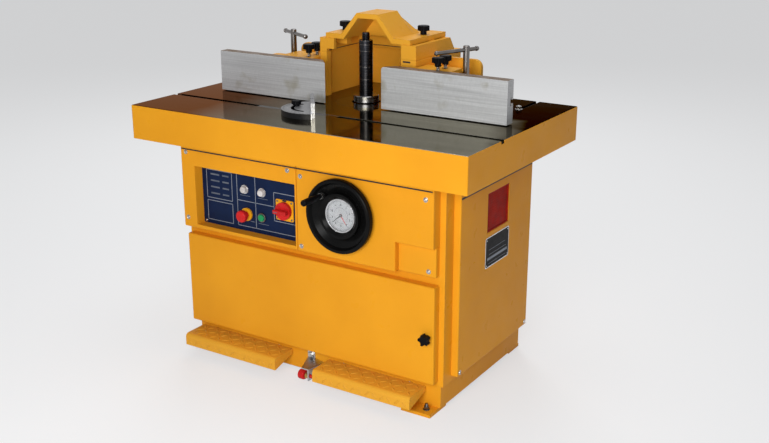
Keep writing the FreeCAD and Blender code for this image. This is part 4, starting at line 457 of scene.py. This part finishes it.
def moved(mesh, x=0.0, y=0.0, z=0.0, turn=0.0, about="Z"):
    mesh.transform(Matrix.Translation((x, y, z)) @ Matrix.Rotation(math.radians(turn), 4, about))
    return mesh


def bevelled(mesh, width):
    steep = math.radians(40)
    sharp = [e for e in mesh.edges if e.is_manifold and e.calc_face_angle() > steep]
    bmesh.ops.bevel(mesh, geom=sharp, offset=width, segments=2, affect="EDGES", clamp_overlap=True)
    return mesh


def carved(mesh, tool):
    """The mesh with the tool's room taken out of it."""
    pair = []
    for part in (mesh, tool):
        data = bpy.data.meshes.new("carve")
        part.to_mesh(data)
        pair.append(bpy.data.objects.new("carve", data))
        bpy.context.scene.collection.objects.link(pair[-1])
    cut = pair[0].modifiers.new("cut", "BOOLEAN")
    cut.object = pair[1]
    cut.solver = "EXACT"
    shaped = pair[0].evaluated_get(bpy.context.evaluated_depsgraph_get())
    result = bmesh.new()
    result.from_mesh(shaped.to_mesh())
    for spare in pair:
        data = spare.data
        bpy.data.objects.remove(spare)
        bpy.data.meshes.remove(data)
    return result


def crests(radius, root, low, high, pitch):
    """Crests and roots of a thread up its length."""
    points = []
    for turn in range(int((high - low) / pitch)):
        points += [(radius, low + (turn + 0.5) * pitch), (root, low + (turn + 1) * pitch)]
    return points


def thread(radius, low, high, pitch):
    """Outline of a threaded rod."""
    root = radius - 0.5 * pitch
    middle = crests(radius, root, low, high, pitch)
    return [(0, low), (root, low), *middle, (root, high), (0, high)]


def cross_screw(radius):
    """Pan-head screw on its washer, with a cross recess sunk in the head."""
    rise = 0.5 * radius
    head = turned((0, 1.0), (radius, 1.0), (radius, 1.2), (0.85 * radius, 1 + 0.6 * rise),
                  (0.5 * radius, 1 + 0.92 * rise), (0, 1 + rise))
    long, short = (-0.6 * radius, 0.6 * radius), (-0.12 * radius, 0.12 * radius)
    depth = (0.5 + 0.4 * rise, 4 + rise)
    cut = carved(carved(head, block(long, short, depth)), block(short, long, depth))
    rim = 1.35 * radius
    return joined(cut, turned((0, 0), (rim, 0), (rim, 0.7), (1.25 * radius, 1.0), (0, 1.0)))


def stud_bolt(radius, rise, flats, seat):
    """Threaded stud with a nut and washer; seat is how far the stud starts below the washer."""
    rod = turned(*thread(radius, -seat, rise, 0.25 * radius), steps=28)
    nut = bevelled(prism(hexagon(flats), 2.6, 2.6 + 1.7 * radius), 0.12 * radius)
    rim = flats * 0.72
    washer = turned((0, 0), (rim, 0), (rim, 1.9), (flats * 0.68, 2.5), (0, 2.5))
    return joined(rod, nut, washer)


def rule(start, end, width, depth=0.15):
    """A thin printed line from one place to another, with Z out of the print's face."""
    along = Vector(end) - Vector(start)
    mesh = block((0, along.length), (-width / 2, width / 2), (0, depth))
    return moved(mesh, start[0], start[1], 0, math.degrees(math.atan2(along.y, along.x)))


def boxed(left, right, low, high, width):
    """Four printed lines round a field."""
    corners = [(left, high), (right, high), (right, low), (left, low)]
    return [rule(start, end, width) for start, end in zip(corners, corners[1:] + corners[:1])]


def clock(radius, degrees):
    """A place on a circle, counted from the top."""
    angle = math.radians(degrees)
    return radius * math.sin(angle), radius * math.cos(angle)


def digits(text, size):
    """A number as a flat mesh round its own middle."""
    curve = bpy.data.curves.new("digits", "FONT")
    curve.body = text
    curve.size = size
    curve.align_x = "CENTER"
    curve.align_y = "CENTER"
    curve.extrude = 0.04
    curve.offset = 0.25
    writer = bpy.data.objects.new("digits", curve)
    data = bpy.data.meshes.new_from_object(writer)
    mesh = bmesh.new()
    mesh.from_mesh(data)
    bpy.data.objects.remove(writer)
    bpy.data.curves.remove(curve)
    bpy.data.meshes.remove(data)
    return mesh


def lozenge(length, width, rise):
    """A low pointed rib: flat on its seat, ridged along its length."""
    mesh = bmesh.new()
    tip, side = length / 2, width / 2
    waist, peak = 0.45 * tip, 0.5 * tip
    rim = [(-tip, 0), (-waist, -side), (waist, -side), (tip, 0), (waist, side), (-waist, side)]
    base = [mesh.verts.new((x, y, -0.2)) for x, y in rim]
    left, right = [mesh.verts.new((x, 0, rise)) for x in (-peak, peak)]
    mesh.faces.new(base)
    for first, second, ridge in ((0, 1, left), (5, 0, left), (2, 3, right), (3, 4, right)):
        mesh.faces.new((base[first], base[second], ridge))
    mesh.faces.new((base[1], base[2], right, left))
    mesh.faces.new((base[4], base[5], left, right))
    bmesh.ops.recalc_face_normals(mesh, faces=mesh.faces)
    return mesh


def tread(across, along, pitch=26):
    """Rows of ribs, each turned across its neighbours."""
    ribs = []
    width, depth = across[1] - across[0], along[1] - along[0]
    columns, rows = round(width / pitch), round(depth / pitch)
    for row in range(rows):
        for column in range(columns):
            x = across[0] + (column + 0.5) * width / columns
            y = along[0] + (row + 0.5) * depth / rows
            turn = 45 if (row + column) % 2 else -45
            ribs.append(moved(lozenge(25, 7.5, 1.5), x, y, 0, turn))
    return joined(*ribs)


def made(name, mesh):
    """Mesh data in metres, smooth but for its sharp edges."""
    mesh.transform(Matrix.Scale(MM, 4))
    data = bpy.data.meshes.new(name)
    mesh.to_mesh(data)
    data.shade_smooth()
    data.set_sharp_from_angle(angle=math.radians(32))
    return data


# Setting pieces on the frame
FRONT, RIGHT, LEFT, BACK, UP = (0, -1, 0), (1, 0, 0), (-1, 0, 0), (0, 1, 0), (0, 0, 1)
CORNERS = ((-1, 1), (1, 1), (-1, -1), (1, -1))


def stand(name, shape, finish, body, at=(0, 0, 0), axis=UP, spin=0.0):
    """Sets a mesh at a place in millimetres with its Z along axis, riding on a body."""
    data = made(name, shape) if isinstance(shape, bmesh.types.BMesh) else shape
    piece = bpy.data.objects.new(name, data)
    bpy.context.scene.collection.objects.link(piece)
    turn = Vector(UP).rotation_difference(Vector(axis)).to_matrix().to_4x4()
    spun = Matrix.Rotation(math.radians(spin), 4, "Z")
    piece.matrix_world = Matrix.Translation(Vector(at) * MM) @ turn @ spun
    if not data.materials:
        data.materials.append(FINISHES[finish])
    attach(piece, body)


def low_of(node):
    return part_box(node)[0] / MM


def high_of(node):
    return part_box(node)[1] / MM


# Screws of the covers and the control panel
FRONT_SCREWS = ((-448, 682), (-452, 464), (-46, 680), (2, 669), (1, 449), (433, 666))
JOGGLE_SCREW, JOGGLE_DEPTH = (435, 448), 18
SIDE_SCREWS_Z, SIDE_MARGIN = (116, 702), 14
REAR_SCREWS_X, REAR_SCREWS_Z = (-458, 0, 458), (104, 404, 702)
screw = made("cover_screw", cross_screw(5.5))
cover_y = low_of("control_cover").y
places = [(x, cover_y, z) for x, z in FRONT_SCREWS]
places.append((JOGGLE_SCREW[0], cover_y + JOGGLE_DEPTH, JOGGLE_SCREW[1]))
for index, at in enumerate(places):
    stand(f"cover_screw_{index}", screw, "bright_steel", "machine", at, FRONT, 25 * index)
for side, axis in (("right", RIGHT), ("left", LEFT)):
    cover = f"{side}_side_cover"
    face = high_of(cover).x if side == "right" else low_of(cover).x
    columns = (low_of(cover).y + SIDE_MARGIN, high_of(cover).y - SIDE_MARGIN)
    for index, (y, z) in enumerate((y, z) for y in columns for z in SIDE_SCREWS_Z):
        name = f"{cover}_screw_{index}"
        stand(name, screw, "bright_steel", "machine", (face, y, z), axis, 33 * index)
rear_y = high_of("rear_cover").y
for index, (x, z) in enumerate((x, z) for x in REAR_SCREWS_X for z in REAR_SCREWS_Z):
    name = f"rear_screw_{index}"
    stand(name, screw, "bright_steel", "machine", (x, rear_y, z), BACK, 41 * index)
panel_y = low_of("control_panel").y
panel_screw = cross_screw(3.5)
stand("panel_screw", panel_screw, "bright_steel", "machine", (-405.5, panel_y, 452), FRONT, 20)

# Print on the control panel: fields, dividing lines and bars in place of words
LINE = 2.2
TABLE_FIELD, LOWER_FIELD = (-396.5, -293.5, 533, 626), (-396.5, -293.5, 459, 523.5)
BUTTONS_LEFT, BUTTONS_MIDDLE, SWITCH_LEFT, PRINT_RIGHT = -273, -200, -127.5, -22
PRINT_TOP, LAMPS_LOW, PRINT_LOW = 632, 543, 459.5
SWITCH_TOP, SWITCH_LOW = 589.5, 497.5
lines = boxed(*TABLE_FIELD, LINE) + boxed(*LOWER_FIELD, LINE)
for start, end in (
    ((BUTTONS_LEFT, PRINT_TOP), (BUTTONS_LEFT, PRINT_LOW)),
    ((BUTTONS_MIDDLE, PRINT_TOP), (BUTTONS_MIDDLE, PRINT_LOW)),
    ((BUTTONS_LEFT, LAMPS_LOW), (SWITCH_LEFT, LAMPS_LOW)),
    ((BUTTONS_LEFT, PRINT_LOW), (PRINT_RIGHT, PRINT_LOW)),
    ((SWITCH_LEFT, SWITCH_TOP), (PRINT_RIGHT, SWITCH_TOP)),
    ((SWITCH_LEFT, SWITCH_TOP), (SWITCH_LEFT, SWITCH_LOW)),
    ((SWITCH_LEFT, SWITCH_LOW), (PRINT_RIGHT, SWITCH_LOW)),
):
    lines.append(rule(start, end, LINE))
stand("panel_print", joined(*lines), "print_white", "machine", (0, panel_y, 0), FRONT)
notes = []
for row in range(4):
    height = 612 - 21 * row
    for start, end in ((-380, -344), (-332, -306)):
        notes.append(rule((start, height), (end, height), 5.0))
CAPTIONS = ((-261, -221, 561), (-190, -152, 561), (-222, -207, 479.5), (-191, -150, 478))
for start, end, height in CAPTIONS:
    notes.append(rule((start, height), (end, height), 2.0))
stand("panel_notes", joined(*notes), "print_grey", "machine", (0, panel_y, 0), FRONT)

# Rings and marks of the controls
lamp_ring = bevelled(turned((11.3, 2.9), (14.6, 2.9), (14.6, 0), (11.3, 0)), 0.5)
lamp_ring = made("lamp_ring", lamp_ring)
for side, x in LAMPS_X.items():
    at = (x, panel_y - 0.2, LAMPS_Z)
    stand(f"lamp_ring_{side}", lamp_ring, "dial_metal", "machine", at, FRONT)
start_ring = turned((11.6, 0), (15.5, 0), (15.5, 4.5), (14.2, 6), (11.6, 6))
stand("start_ring", start_ring, "worn_steel", "machine", (START_X, panel_y, START_Z), FRONT)
switch_y = panel_y - 4
plate_screw = made("plate_screw", cross_screw(2.4))
for index, (across, up) in enumerate(CORNERS):
    at = (SWITCH_X + 27 * across, switch_y, SWITCH_Z + 27 * up)
    stand(f"plate_screw_{index}", plate_screw, "worn_steel", "machine", at, FRONT, 30 * index)
plate_slot = bevelled(block((-8, 8), (-2.6, 2.6), (0, 0.4)), 0.15)
at = (SWITCH_X, switch_y, SWITCH_Z + 31)
stand("plate_slot", plate_slot, "print_black", "machine", at, FRONT)
pointer = bevelled(block((-22, -6), (-1, 1), (0, 0.25)), 0.1)
at = (SWITCH_X, low_of("main_switch_handle").y, SWITCH_Z)
stand("switch_pointer", pointer, "print_grey", "main_switch", at, FRONT)

# Dial: ticks, two rings, numbers and clips
TICKS_REACH, NUMBERS_REACH, CLIPS_REACH = 45.0, 32, 49
INK = 0.08
marks = []
for index in range(100):
    length = 7.0 if index % 10 == 0 else 5.0 if index % 5 == 0 else 3.2
    width = 0.9 if index % 10 == 0 else 0.5
    inner, outer = clock(TICKS_REACH - length, 3.6 * index), clock(TICKS_REACH, 3.6 * index)
    marks.append(rule(inner, outer, width, INK))
for radius in (45.4, 24.0):
    inner, outer = radius - 0.3, radius + 0.3
    marks.append(turned((inner, 0), (outer, 0), (outer, INK), (inner, INK), steps=72))
for index in range(10):
    marks.append(moved(digits(str(index), 9.5), *clock(NUMBERS_REACH, 36 * index), 0.05))
at = (DIAL_X, low_of("dial_face").y, DIAL_Z)
stand("dial_marks", joined(*marks), "print_black", "handwheel", at, FRONT)
case_y = low_of("dial_case").y
clip = bevelled(turned((0, 0), (3.2, 0), (3.2, 1.6), (2.4, 2.4), (0, 2.6), steps=20), 0.2)
clip = made("dial_clip", clip)
for index, angle in enumerate((75, 195, 315)):
    across, up = clock(CLIPS_REACH, angle)
    at = (DIAL_X + across, case_y, DIAL_Z + up)
    stand(f"dial_clip_{index}", clip, "dial_metal", "handwheel", at, FRONT)

# Crank ferrule
ferrule = turned((7.7, 0.2), (9.8, 0.2), (9.8, 3.0), (8.8, 6.0), (8.8, 10.0), (7.7, 10.0))
at = (CRANK_X, high_of("crank_grip").y, CRANK_Z)
stand("crank_ferrule", ferrule, "bright_steel", "crank_grip", at, FRONT)

# Bare plate on the right side: rim, dark field, rivets and plain lines
side_x = high_of("right_side_cover").x
PLATE_AT = (SIDE_PLATE_Y, SIDE_PLATE_Z)
rim = bevelled(prism(rounded_outline(157, 97, 7), 0, 0.9), 0.3)
stand("side_plate", rim, "dial_metal", "machine", (side_x, *PLATE_AT), RIGHT, 90)
field = prism(rounded_outline(151, 91, 5), 0, 0.12)
at = (side_x + 0.9, *PLATE_AT)
stand("side_plate_field", field, "black_plastic", "machine", at, RIGHT, 90)
rivet = made("plate_rivet", turned((0, 1.3), (1.4, 1.0), (2.2, 0), (0, 0), steps=18))
for index, (across, up) in enumerate(CORNERS):
    at = (side_x + 1, SIDE_PLATE_Y + 70 * across, SIDE_PLATE_Z + 40 * up)
    stand(f"plate_rivet_{index}", rivet, "dial_metal", "machine", at, RIGHT)
fields = [rule((-66, -21), (66, -21), 8.0, 0.1)]
for height, start, end in ((7, -56, 52), (-8, -56, 58), (-36, -60, 58)):
    fields.append(rule((start, height), (end, height), 1.2, 0.1))
at = (side_x + 1.02, *PLATE_AT)
stand("side_plate_fields", joined(*fields), "print_white", "machine", at, RIGHT, 90)

# Louvres in the side window, in a frame of thin bars
FRAME_BAR, SLATS, SLAT_PITCH, SLAT_TILT = 3, 16, 7.6, 58
vent_x = (side_x - 12, side_x - 2)
(near, far), (low, high) = WINDOW_Y, WINDOW_Z
vent = [block(vent_x, (y, y + FRAME_BAR), WINDOW_Z) for y in (near, far - FRAME_BAR)]
vent += [block(vent_x, WINDOW_Y, (z, z + FRAME_BAR)) for z in (low, high - FRAME_BAR)]
for row in range(SLATS):
    slat = bevelled(block((-5.5, 5.5), (near + 1, far - 1), (-0.8, 0.8)), 0.3)
    vent.append(moved(slat, side_x - 7, 0, low + 4 + SLAT_PITCH * row, SLAT_TILT, "Y"))
stand("side_louvres", joined(*vent), "vent_red", "machine")

# Painted shadow: thin black strips on the covers just below the table's overhang, where its shadow
# falls
brow = low_of("table").z
shadow_strip_x = (low_of("control_cover").x + 4, high_of("wheel_cover").x - 4)
shadow_strip_y = (low_of("right_side_cover").y + 4, high_of("right_side_cover").y - 4)
front_shadow_strip = block(shadow_strip_x, (cover_y - 0.4, cover_y + 0.2), (brow - 32.5, brow - 28.5))
right_shadow_strip = block((side_x - 0.2, side_x + 0.4), shadow_strip_y, (brow - 69, brow - 63))
for side, shadow_strip in (("front", front_shadow_strip), ("right", right_shadow_strip)):
    stand(f"seam_{side}", bevelled(shadow_strip, 0.2), "print_black", "machine")

# Bolts on the feet, in the table's slot and on the latch
FOOT_HOLES, FOOT_TOP = ((433, -270), (-433, -270), (433, 274), (-433, 274)), 10
foot_bolt = made("foot_bolt", stud_bolt(5, 20, 15, 9))
for index, (x, y) in enumerate(FOOT_HOLES):
    at = (x, y, FOOT_TOP)
    stand(f"foot_bolt_{index}", foot_bolt, "worn_steel", "machine", at, UP, 17 * index)
slot_bolt = made("slot_bolt", stud_bolt(5, 13, 16, 9))
for index, x in enumerate((465, -465)):
    at = (x, 222, TABLE_TOP)
    stand(f"slot_bolt_{index}", slot_bolt, "bright_steel", "machine", at, UP, 12 + 20 * index)
tab_head = bevelled(prism(hexagon(15), 2.2, 8.0), 0.6)
tab_washer = turned((0, 0), (11.5, 0), (11.5, 1.6), (11.0, 2.2), (0, 2.2))
latch_y = low_of("latch_bracket").y
at = (-4, latch_y + 76, 71)
stand("latch_bolt", joined(tab_head, tab_washer), "bright_steel", "machine", at, FRONT, 12)
bush_nut = prism(hexagon(19), 0, 6)
bush_collar = turned((0, 5), (9.6, 5), (9.6, 13), (8.6, 14), (0, 14))
bore = turned((0, -1), (6.3, -1), (6.3, 15), (0, 15))
bush = joined(*[carved(bevelled(shape, 0.4), bore) for shape in (bush_nut, bush_collar)])
stand("latch_bush", bush, "brass", "machine", (35, latch_y + 12, 31), LEFT)

# Raised tread on the pedals
PEDAL_EDGE, TOP_DEPTH, LIP_HEIGHT, LIP_LOW = 6, (13, 90), (1.5, 26), 33
for pedal in ("lock_pedal", "brake_pedal"):
    low, high = low_of(pedal), high_of(pedal)
    across = (PEDAL_EDGE, high.x - low.x - PEDAL_EDGE)
    at = (low.x, low.y, high.z)
    stand(f"{pedal}_tread", tread(across, TOP_DEPTH), "tread_paint", pedal, at, UP)
    at = (low.x, low.y, LIP_LOW)
    stand(f"{pedal}_lip", tread(across, LIP_HEIGHT), "tread_paint", pedal, at, FRONT)

# Spindle thread, and lighter steel beads between its rings, painted as the highlights on their
# edges
RINGS_HEIGHT, RING_HEIGHTS = 173, (50, 40, 50, 20, 13)
rings_top = high_of("spacer_rings").z
tip_length = high_of("spindle_shaft").z - rings_top - 3
tip = turned((11.4, 0), *crests(12.3, 11.55, 0, tip_length, 1.5), (11.4, tip_length), steps=32)
at = (SPINDLE_X, SPINDLE_Y, rings_top)
stand("spindle_thread", tip, "black_steel", "spindle", at, UP)
# Painted highlight: a light bead at each joint of the blacked rings
line = turned((21.3, -0.7), (21.95, -0.45), (21.95, 0.45), (21.3, 0.7), steps=48)
line = made("ring_highlight", line)
height = rings_top - RINGS_HEIGHT
for index, rise in enumerate(RING_HEIGHTS):
    height += rise
    inset = 0.8 if index == len(RING_HEIGHTS) - 1 else 0
    at = (SPINDLE_X, SPINDLE_Y, height - inset)
    stand(f"ring_highlight_{index}", line, "worn_steel", "spindle", at, UP)

# Threads of the knobs' studs, and ends of the tommy bars
STUD_BELOW_TOP = 40
stud_thread = crests(5.6, 5.1, 0.2, 11.8, 1.4)
sleeve = turned((5.03, 0.2), (5.1, 0.2), *stud_thread, (5.1, 11.8), (5.03, 11.8), steps=24)
sleeve = made("stud_sleeve", sleeve)
for side in ("left", "right"):
    for row in ("front", "rear"):
        knob = f"carrier_knob_{side}_{row}"
        low, high = low_of(knob), high_of(knob)
        at = ((low.x + high.x) / 2, (low.y + high.y) / 2, high.z - STUD_BELOW_TOP)
        stand(f"{knob}_stud", sleeve, "bright_steel", knob, at, UP)
BAR_HALF = 80
bar_end = turned((0, 5.5), (4.0, 5.2), (6.6, 3.4), (7.6, 0.4), (7.6, -3.6), (6.9, -4.6), (0, -4.6),
                 steps=28)
bar_end = made("bar_end", bar_end)
for side, sign, angle, shift in (("right", 1, 69, -38), ("left", -1, -29, 15)):
    direction = Vector((math.cos(math.radians(angle)), math.sin(math.radians(angle)), 0))
    for place, end in (("near", -1), ("far", 1)):
        at = Vector((HANDLE_X * sign, HANDLE_Y, BAR_Z)) + direction * (shift + end * BAR_HALF)
        handle = f"t_handle_{side}"
        stand(f"{handle}_end_{place}", bar_end, "worn_steel", handle, at, direction * end)

# Scale on the mitre gauge
scale = []
for step in range(-14, 15):
    angle = math.radians(180 + 5 * step)
    inner = 78 if step % 2 == 0 else 83
    ends = [(radius * math.cos(angle), radius * math.sin(angle)) for radius in (inner, 90)]
    scale.append(rule(*ends, 0.9, 0.1))
at = (MITRE_X, MITRE_Y, MITRE_TOP)
stand("mitre_scale", joined(*scale), "print_black", "mitre_head", at, UP, MITRE_TURN)

# Nuts that hold the fences, behind the carriers
CARRIER_PLATE, NUTS_Z = 8, 898
fence_nut = made("fence_nut", stud_bolt(5, 16, 16, 1))
for side, sign in (("left", -1), ("right", 1)):
    carrier = f"carrier_{side}"
    plate_back = low_of(carrier).y + CARRIER_PLATE
    for index, x in enumerate((392, 455)):
        at = (x * sign, plate_back, NUTS_Z)
        stand(f"{carrier}_nut_{index}", fence_nut, "bright_steel", carrier, at, BACK, 14 * index)

# Dark joint between the hood's castings, and a black strip on the right pillar painted where the
# shadow under its step falls
PILLAR_DEPTH, HOOD_DEPTH, HOOD_HALF = 26, 201, 164
pillar_y, split = low_of("hood_shell").y, low_of("hood_shell").z
back_y = pillar_y + HOOD_DEPTH
seam_z = (split, split + 2.2)
left_joint = block((-HOOD_HALF, 0.4 - HOOD_HALF), (pillar_y + PILLAR_DEPTH, back_y), seam_z)
back_joint = block((-HOOD_HALF, HOOD_HALF), (back_y - 0.4, back_y), seam_z)
hood_joint = bevelled(joined(left_joint, back_joint), 0.1)
stand("hood_joint", hood_joint, "print_black", "fence_unit")
# Painted shadow: a flat black strip in place of the pillar's slot
pillar_shadow_strip = bevelled(block((-13.5, 13.5), (-2.5, 2.5), (0, 0.3)), 0.1)
stand("pillar_shadow_strip", pillar_shadow_strip, "print_black", "fence_unit", (146.5, pillar_y, 968.5), FRONT)


# Studio, in metres
def lamp(name, at, target, size, power):
    light = bpy.data.lights.new(name, "AREA")
    light.shape = "RECTANGLE"
    light.size, light.size_y = size
    light.energy = power
    holder = bpy.data.objects.new(name, light)
    bpy.context.scene.collection.objects.link(holder)
    holder.visible_camera = False
    holder.location = at
    holder.rotation_euler = (Vector(target) - Vector(at)).to_track_quat("-Z", "Y").to_euler()
    return holder


lamp("key", (0.9, -2.5, 1.3), (0.0, 0.0, 0.8), (1.5, 1.0), 40.0)
lamp("fill", (1.6, -2.8, 1.6), (0.0, 0.0, 0.85), (1.3, 1.3), 18.0)
lamp("top", (0.2, 0.2, 3.6), (0.0, 0.0, 0.8), (2.4, 2.0), 34.0)
rear_lamp = lamp("rear", (-1.8, 2.8, 3.0), (0.0, 0.2, 0.6), (1.8, 1.4), 55.0)
rear_lamp.visible_glossy = False

PALE, HAZE = (0.93, 0.935, 0.945, 1.0), (0.66, 0.665, 0.68, 1.0)
AMBIENT, FLOOR_GLOW = 0.21, 0.62
SEEN_RAYS = ("Is Camera Ray", "Is Glossy Ray", "Is Transmission Ray")


def seen(tree, unseen, shown):
    """One value for rays that light the object, another for rays that show the background."""
    path = tree.nodes.new("ShaderNodeLightPath")
    total = path.outputs[SEEN_RAYS[0]]
    for kind in SEEN_RAYS[1:]:
        most = tree.nodes.new("ShaderNodeMath")
        most.operation = "MAXIMUM"
        tree.links.new(total, most.inputs[0])
        tree.links.new(path.outputs[kind], most.inputs[1])
        total = most.outputs[0]
    share = tree.nodes.new("ShaderNodeMapRange")
    share.inputs[3].default_value = unseen
    share.inputs[4].default_value = shown
    tree.links.new(total, share.inputs[0])
    return share.outputs[0]


world = bpy.data.worlds.new("studio")
bpy.context.scene.world = world
world.use_nodes = True
sky = world.node_tree.nodes["Background"]
sky.inputs["Color"].default_value = HAZE
world.node_tree.links.new(seen(world.node_tree, AMBIENT, 1.0), sky.inputs["Strength"])

floor_mesh = bmesh.new()
bmesh.ops.create_grid(floor_mesh, x_segments=8, y_segments=8, size=20.0)
floor_data = bpy.data.meshes.new("floor")
floor_mesh.to_mesh(floor_data)
floor = bpy.data.objects.new("floor", floor_data)
bpy.context.scene.collection.objects.link(floor)
floor.location.z = -0.0005
ground = bpy.data.materials.new("floor")
ground.use_nodes = True
tree = ground.node_tree
tree.nodes.remove(tree.nodes["Principled BSDF"])
matt = tree.nodes.new("ShaderNodeBsdfDiffuse")
matt.inputs["Color"].default_value = PALE
glow = tree.nodes.new("ShaderNodeEmission")
glow.inputs["Color"].default_value = PALE
both = tree.nodes.new("ShaderNodeMixShader")
tree.links.new(seen(tree, 0.0, FLOOR_GLOW), both.inputs[0])
tree.links.new(matt.outputs[0], both.inputs[1])
tree.links.new(glow.outputs[0], both.inputs[2])
tree.links.new(both.outputs[0], tree.nodes["Material Output"].inputs["Surface"])
floor_data.materials.append(ground)

# Camera at the photograph's viewing angle
CAMERA_AT, CAMERA_AIM = (1.8574, -2.7644, 1.544), (-0.5063, 0.8035, -0.3131)
camera = bpy.data.objects.new("camera", bpy.data.cameras.new("camera"))
bpy.context.scene.collection.objects.link(camera)
camera.location = CAMERA_AT
camera.rotation_euler = Vector(CAMERA_AIM).to_track_quat("-Z", "Y").to_euler()
camera.data.sensor_width = 36.0
camera.data.lens = 50.49
bpy.context.scene.camera = camera
bpy.context.scene.view_settings.view_transform = "Standard"
